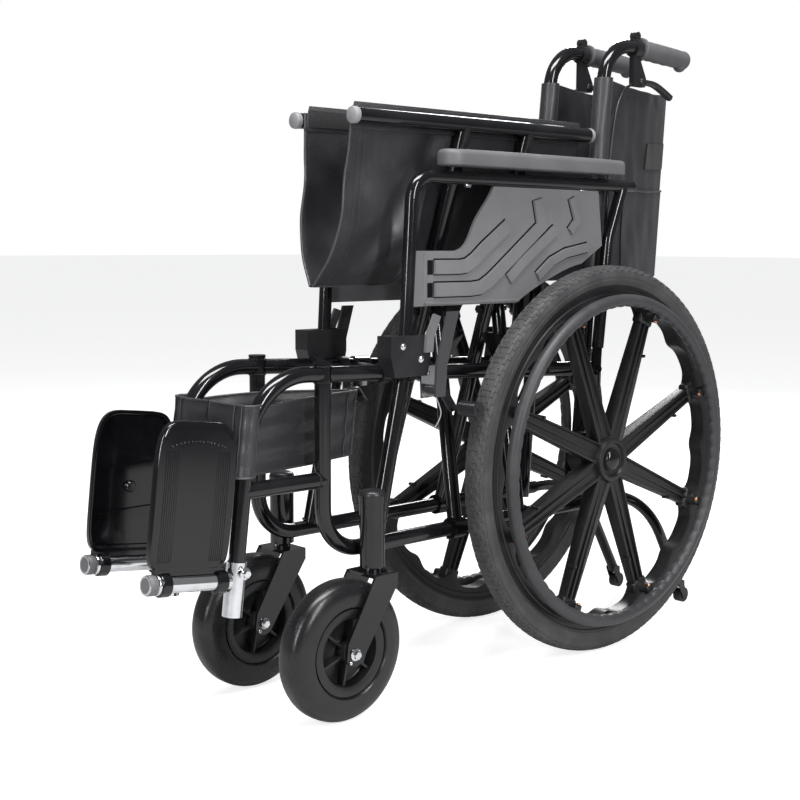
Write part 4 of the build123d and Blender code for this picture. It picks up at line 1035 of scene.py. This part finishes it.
def strapRearShape(u, v):
    # From behind the hanger back to the fold in the middle.
    z = strapSpec["high"] + (strapSpec["low"] - strapSpec["high"]) * v
    z -= 0.006 * (1 - v) * (1 - u) ** 4
    inward = math.asin((frameX - 0.0030) / strapSpec["reach"])
    reach = strapSpec["start"] + (strapSpec["reach"] - strapSpec["start"]) * u
    padding = 0.0013 * math.cos(v * 2 * math.pi * strapSpec["channels"])
    loose = math.sin(math.pi * u)
    off = loose * (0.0070 + 0.0040 * noise.noise(Vector((u * 4.5, v * 1.6, 5.5)))) + padding
    x = frameX - math.sin(inward) * reach + off
    y = hangerY(z) + math.cos(inward) * reach
    return Vector((max(0.0028, x), y, z - 0.004 * u * u))


def makeStrap(side):
    tall = strapSpec["high"] - strapSpec["low"]
    for part, shape, body, node in (("front", strapFrontShape, "frame", "strap_front"),
                                    ("rear", strapRearShape, "strap", "calf_strap")):
        name = "strap_" + part
        bm, area = clothSheet(side, shape, 90, 36, strapSpec["thick"])
        cloth = makePiece(bm, side, name + "_cloth", body, "strap", replaced=node,
                          sharp=60, mirror=False)
        round(area / tall, 3)
        hem = bmesh.new()
        rod(hem, edgeLine(shape, v=0.0), 0.0016)
        rod(hem, edgeLine(shape, v=1.0), 0.0016)
        if part == "rear":
            rod(hem, edgeLine(shape, u=1.0, steps=12), 0.0015)
            rod(hem, edgeLine(shape, u=0.90, steps=12, lift=(0.0012, 0, 0)), 0.0009)
        else:
            seam = frameX / (frameX + math.pi * hangerSpec["wrap"])
            rod(hem, edgeLine(shape, u=seam * 1.02, steps=12, lift=(0, -0.0012, 0)), 0.0011)
            rod(hem, edgeLine(shape, u=seam * 0.82, steps=12, lift=(0, -0.0012, 0)), 0.0009)
        makePiece(hem, side, name + "_hems", body, "piping", sharp=60)


for side in sides:
    makeSeat(side)
    makeBack(side)
    makeStrap(side)
print("seat, back and calf strap made")


# ---- footplates

footSpec = {"hingeZ": 0.214, "wide": 0.118, "tall": 0.186,
            "thick": 0.0105, "rearGap": 0.016, "low": 0.016, "wall": 0.0026, "dots": 15,
            "ribs": 7, "steps": 96}


def makeFootplate(side):
    # A moulded shell with an arched top, rolled rim, tread dots and ribs, hollow underneath.
    lean = hangerSpec["lean"]
    ahead = Vector((0, -1, lean)).normalized()
    rise = Vector((0, lean, 1)).normalized()
    origin = Vector((frameX, hangerY(footSpec["hingeZ"]), footSpec["hingeZ"]))
    corner = origin + ahead * footSpec["rearGap"] + rise * footSpec["low"]
    wide, tall, thick = footSpec["wide"], footSpec["tall"], footSpec["thick"]

    def edgeOf(angle):
        # A rounded outline, fuller at the bottom and arched over the top.
        c, sn = math.cos(angle), math.sin(angle)
        power = 0.34 if sn > 0 else 0.24
        a = math.copysign(abs(c) ** power, c) * (wide / 2) * (1 - 0.045 * max(0, sn) ** 2)
        b = math.copysign(abs(sn) ** (0.46 if sn > 0 else 0.24), sn) * tall / 2
        return wide / 2 + a, tall / 2 + b

    def at(across, high, out):
        belly = 0.0016 * math.sin(math.pi * min(1.0, high / tall))
        return corner + ahead * across + rise * high + Vector((out + belly, 0, 0))

    bm = bmesh.new()
    count = footSpec["steps"]
    face, back = thick / 2 - 0.0016, -thick / 2
    inside = face - footSpec["wall"]

    def ringOf(size, out):
        ring = []
        for i in range(count):
            a, b = edgeOf(2 * math.pi * i / count)
            ring.append(bm.verts.new(at(wide / 2 + (a - wide / 2) * size,
                                        tall / 2 + (b - tall / 2) * size, out)))
        return ring

    def loop(ring):
        return [bm.edges.new((ring[i], ring[(i + 1) % count])) for i in range(count)]

    outer = [ringOf(*spot) for spot in ((1.0, back), (1.0, face - 0.0032), (0.992, face - 0.0012),
                                        (0.975, face), (0.90, face), (0.80, face + 0.0002),
                                        (0.5, face + 0.0004), (0.2, face + 0.0005))]
    inner = [ringOf(*spot) for spot in ((0.96, back), (0.945, back + 0.0006), (0.94, inside),
                                        (0.5, inside), (0.2, inside))]
    outerLoops, innerLoops = [loop(r) for r in outer], [loop(r) for r in inner]
    for chain in (outerLoops, innerLoops):
        for a, b in zip(chain, chain[1:]):
            bmesh.ops.bridge_loops(bm, edges=a + b)
    bmesh.ops.bridge_loops(bm, edges=outerLoops[0] + innerLoops[0])
    bmesh.ops.holes_fill(bm, edges=outerLoops[-1], sides=count)
    bmesh.ops.holes_fill(bm, edges=innerLoops[-1], sides=count)
    # two stiffening ribs and the boss in the hollow back
    for high in (0.3, 0.62):
        p = at(wide * 0.5, tall * high, 0)
        block(bm, p + Vector((back + 0.0018, -wide * 0.44, -0.0009)),
              p + Vector((face - 0.0022, wide * 0.44, 0.0009)))
    spot = at(wide * 0.5, tall * 0.46, back + 0.0006)
    turned(bm, [(0.0, 0.0), (0.0, 0.0062), (0.0018, 0.0078), (thick * 0.7, 0.0084),
                (thick * 0.7, 0.0)], spot, (1, 0, 0), 24)
    # two short sleeves round the hinge tube, joined to the plate by a web
    for start in (0.003, wide - 0.031):
        base = origin + ahead * (footSpec["rearGap"] + start)
        turned(bm, [(0.0, 0.0116), (0.0, 0.0148), (0.0008, 0.0156), (0.0122, 0.0156),
                    (0.0130, 0.0148), (0.0130, 0.0116), (0.0, 0.0116)], base, ahead, 40)
    web = block(bm, (-thick / 2 + 0.001, 0.010, -0.0005), (thick / 2 - 0.0016, wide - 0.010, 0.0135))
    place = Matrix((Vector((1, 0, 0)), ahead, rise)).transposed()
    bmesh.ops.rotate(bm, cent=(0, 0, 0), matrix=place, verts=web)
    bmesh.ops.translate(bm, verts=web, vec=origin + ahead * footSpec["rearGap"] +
                        rise * 0.0115)
    makePiece(bm, side, "footplate_shell", "footplate", "gloss",
              replaced="footplate", sharp=42)
    tread = bmesh.new()
    for i in range(footSpec["dots"]):
        t = i / (footSpec["dots"] - 1) * 2 - 1
        p = at(wide * (0.5 + 0.33 * t), tall * (0.865 - 0.035 * t * t), face + 0.0003)
        ball(tread, p, 0.0015, 2)
    for i in range(footSpec["ribs"]):
        for end in (0.10, 0.74):
            a = wide * (end + i * 0.026)
            rod(tread, [at(a, tall * h, face + 0.0002) for h in (0.06, 0.3, 0.55, 0.80)], 0.0007)
    makePiece(tread, side, "footplate_tread", "footplate", "gloss", sharp=60)
    caps, bright = bmesh.new(), bmesh.new()
    end = origin + ahead * 0.122
    turned(caps, [(0.0, 0.0), (0.0, 0.0122), (0.0012, 0.0130), (0.0095, 0.0130),
                  (0.0114, 0.0118), (0.0120, 0.0096), (0.0120, 0.0)], end, ahead, 32)
    turned(bright, [(0.0, 0.0112), (0.0, 0.0128), (0.0006, 0.0132), (0.0042, 0.0132),
                    (0.0048, 0.0128), (0.0048, 0.0112), (0.0, 0.0112)], end - ahead * 0.006,
           ahead, 32)
    boltHead(bright, (0.0845 + 0.0068, hangerY(0.226), 0.226), (1, 0, 0), 0.0058, 0.0072)
    makePiece(caps, side, "hinge_cap", "foot_tube", "grey")
    makePiece(bright, side, "hinge_ring", "foot_tube", "chrome")


for side in sides:
    makeFootplate(side)
print("footplates made")


# ---- frame details: weld beads, end caps, rings, bolts

weldSpec = {"bead": 0.0016, "ripples": 22}
railSpec = {"frontY": -0.568 + rowY, "frontZ": 0.471, "fall": 0.046}


def weld(bm, place, axis, radius):
    # A ring of small overlapping weld ripples round a tube.
    axis = Vector(axis).normalized()
    side = axis.orthogonal().normalized()
    for i in range(weldSpec["ripples"]):
        turn = Matrix.Rotation(2 * math.pi * i / weldSpec["ripples"], 3, axis)
        ball(bm, Vector(place) + turn @ side * radius, weldSpec["bead"], 1)


def railZ(y):
    # Height of the top rail's axis, which falls towards the back.
    return railSpec["frontZ"] - railSpec["fall"] * (y - railSpec["frontY"])


def makeFrameTrim(side):
    beads, bright, caps = bmesh.new(), bmesh.new(), bmesh.new()
    uprightY, postY, stubY = -0.531 + rowY, -0.384 + rowY, -0.436 + rowY
    for y, z in ((uprightY, railZ(uprightY) - 0.0112), (uprightY, railZ(uprightY) + 0.0105),
                 (postY, railZ(postY) - 0.0118), (stubY, 0.2385)):
        weld(beads, (frameX, y, z), up, 0.0112)
    weld(beads, (frameX, uprightY - 0.0115, 0.327), (0, 1, 0), 0.0108)
    makePiece(beads, side, "weld_beads", "frame", "enamel", sharp=60)
    for z, r, tall in ((0.2945, 0.0176, 0.0016), (0.2055, 0.0172, 0.0014)):
        turned(bright, [(0.0, 0.006), (0.0, r), (tall, r), (tall, 0.006), (0.0, 0.006)],
               (0.1, stemY, z), up, 40)
    bracketY = -0.350 + rowY
    boltHead(bright, (0.083, bracketY, railZ(bracketY)), (1, 0, 0), 0.0042, 0.0045)
    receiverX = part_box("left_receiver")[1][0] - 0.0004
    for y, z in ((-0.1640, 0.5020), (-0.1300, 0.4830)):
        boltHead(bright, (receiverX, y, z), (1, 0, 0), 0.0036, 0.0036)
    makePiece(bright, side, "frame_bolts", "frame", "chrome")
    # domed cap on the caster housing
    turned(caps, [(0.0, 0.0), (0.0, 0.0182), (0.0030, 0.0184), (0.0068, 0.0172),
                  (0.0092, 0.0130), (0.0100, 0.0060), (0.0102, 0.0)], (0.1, stemY, 0.3000), up, 40)
    makePiece(caps, side, "housing_cap", "frame", "black", sharp=50)
    # grey caps on the ends of the seat rail
    ends, brace = bmesh.new(), braces[side]
    low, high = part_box(brace)
    for y, way in ((low[1] + 0.0005, -1), (high[1] - 0.0005, 1)):
        turned(ends, [(-0.0052, 0.0), (-0.0052, 0.0113), (0.0, 0.0117), (0.0022, 0.0112),
                      (0.0036, 0.0095), (0.0040, 0.0)], (0.062, y, 0.813), (0, way, 0), 32)
    makePiece(ends, side, "rail_caps", brace, "capGrey", sharp=50)
    # the bent wire that hangs from the parking brake's pivot
    bare = bmesh.new()
    pivot = Vector((0.094, -0.352 + rowY, 0.437))
    rod(bare, [pivot + Vector((0.004, 0.004, -0.006)), pivot + Vector((0.006, 0.014, -0.024)),
               pivot + Vector((0.002, 0.020, -0.040)), pivot + Vector((-0.004, 0.014, -0.054))],
        0.0011)
    makePiece(bare, side, "brake_wire", "frame", "zinc", sharp=60)


for side in sides:
    makeFrameTrim(side)
print("frame trim made")


# ---- finishes for the pieces that keep their CAD shape

cadFinishes = {"lower_frame": "enamel", "top_rail": "enamel", "cane": "enamel",
               "drum_brake": "black", "receiver": "black", "brake_bracket": "chrome",
               "perch": "black", "brake_cable": "cable", "anti_tipper": "enamel",
               "fork": "enamel", "arm_tube": "enamel", "side_panel": "panel",
               "latch": "grey", "brake_lever": "leverGrey", "brake_shoe": "black",
               "hand_lever": "black", "foot_tube": "chrome", "tip_roller": "black"}

for side in sides:
    for node, finish in cadFinishes.items():
        paint(side + "_" + node, finish)
for brace in ("brace_a", "brace_b"):
    paint(brace, "enamel")
print("frame painted")


# ---- studio

def makeStudio():
    # the floor's own glow reaches the camera alone, so it is pale to the horizon
    floor = Finish("studio_floor", Roughness=0.9, Emission_Color=(1.0, 1.0, 1.0))
    seenDirectly = floor.node("ShaderNodeLightPath", {}, {})
    floor.surface(Emission_Strength=seenDirectly * 0.76)
    shade = floor.grain(0.6, 2.0)
    floor.surface(Base_Color=floor.tint(shade, (0.58, 0.58, 0.585), (0.62, 0.62, 0.62)))
    bm = bmesh.new()
    bmesh.ops.create_grid(bm, x_segments=2, y_segments=2, size=60.0)
    mesh = bpy.data.meshes.new("floor")
    bm.to_mesh(mesh)
    bm.free()
    mesh.materials.append(floor.material)
    ground = bpy.data.objects.new("floor", mesh)
    scene.collection.objects.link(ground)
    world = bpy.data.worlds.new("studio")
    world.use_nodes = True
    nodes, links = world.node_tree.nodes, world.node_tree.links
    room, backdrop = nodes["Background"], nodes.new("ShaderNodeBackground")
    room.inputs["Color"].default_value = (0.95, 0.97, 1.0, 1.0)
    room.inputs["Strength"].default_value = 0.2
    backdrop.inputs["Color"].default_value = (1.0, 1.0, 1.0, 1.0)
    backdrop.inputs["Strength"].default_value = 1.0
    seen, choice = nodes.new("ShaderNodeLightPath"), nodes.new("ShaderNodeMixShader")
    links.new(seen.outputs["Is Camera Ray"], choice.inputs[0])
    links.new(room.outputs[0], choice.inputs[1])
    links.new(backdrop.outputs[0], choice.inputs[2])
    links.new(choice.outputs[0], nodes["World Output"].inputs["Surface"])
    scene.world = world
    scene.view_settings.view_transform = "Standard"
    for name, spot, size, power in (("overhead", (0.5, -0.5, 2.9), (2.0, 0.7), 85),
                                    ("left_strip", (3.0, -0.3, 1.9), (0.24, 2.0), 62),
                                    ("front_strip", (0.9, -3.3, 1.6), (0.24, 1.8), 42),
                                    ("rear_strip", (-1.8, 2.6, 2.0), (0.4, 1.8), 40)):
        lamp = bpy.data.lights.new(name, "AREA")
        lamp.shape, lamp.size, lamp.size_y, lamp.energy = "RECTANGLE", *size, power
        holder = bpy.data.objects.new(name, lamp)
        aim = (Vector((0, 0, 0.45)) - Vector(spot)).to_track_quat("-Z", "Y")
        holder.matrix_world = Matrix.Translation(spot) @ aim.to_matrix().to_4x4()
        scene.collection.objects.link(holder)


makeStudio()
print("studio lit")
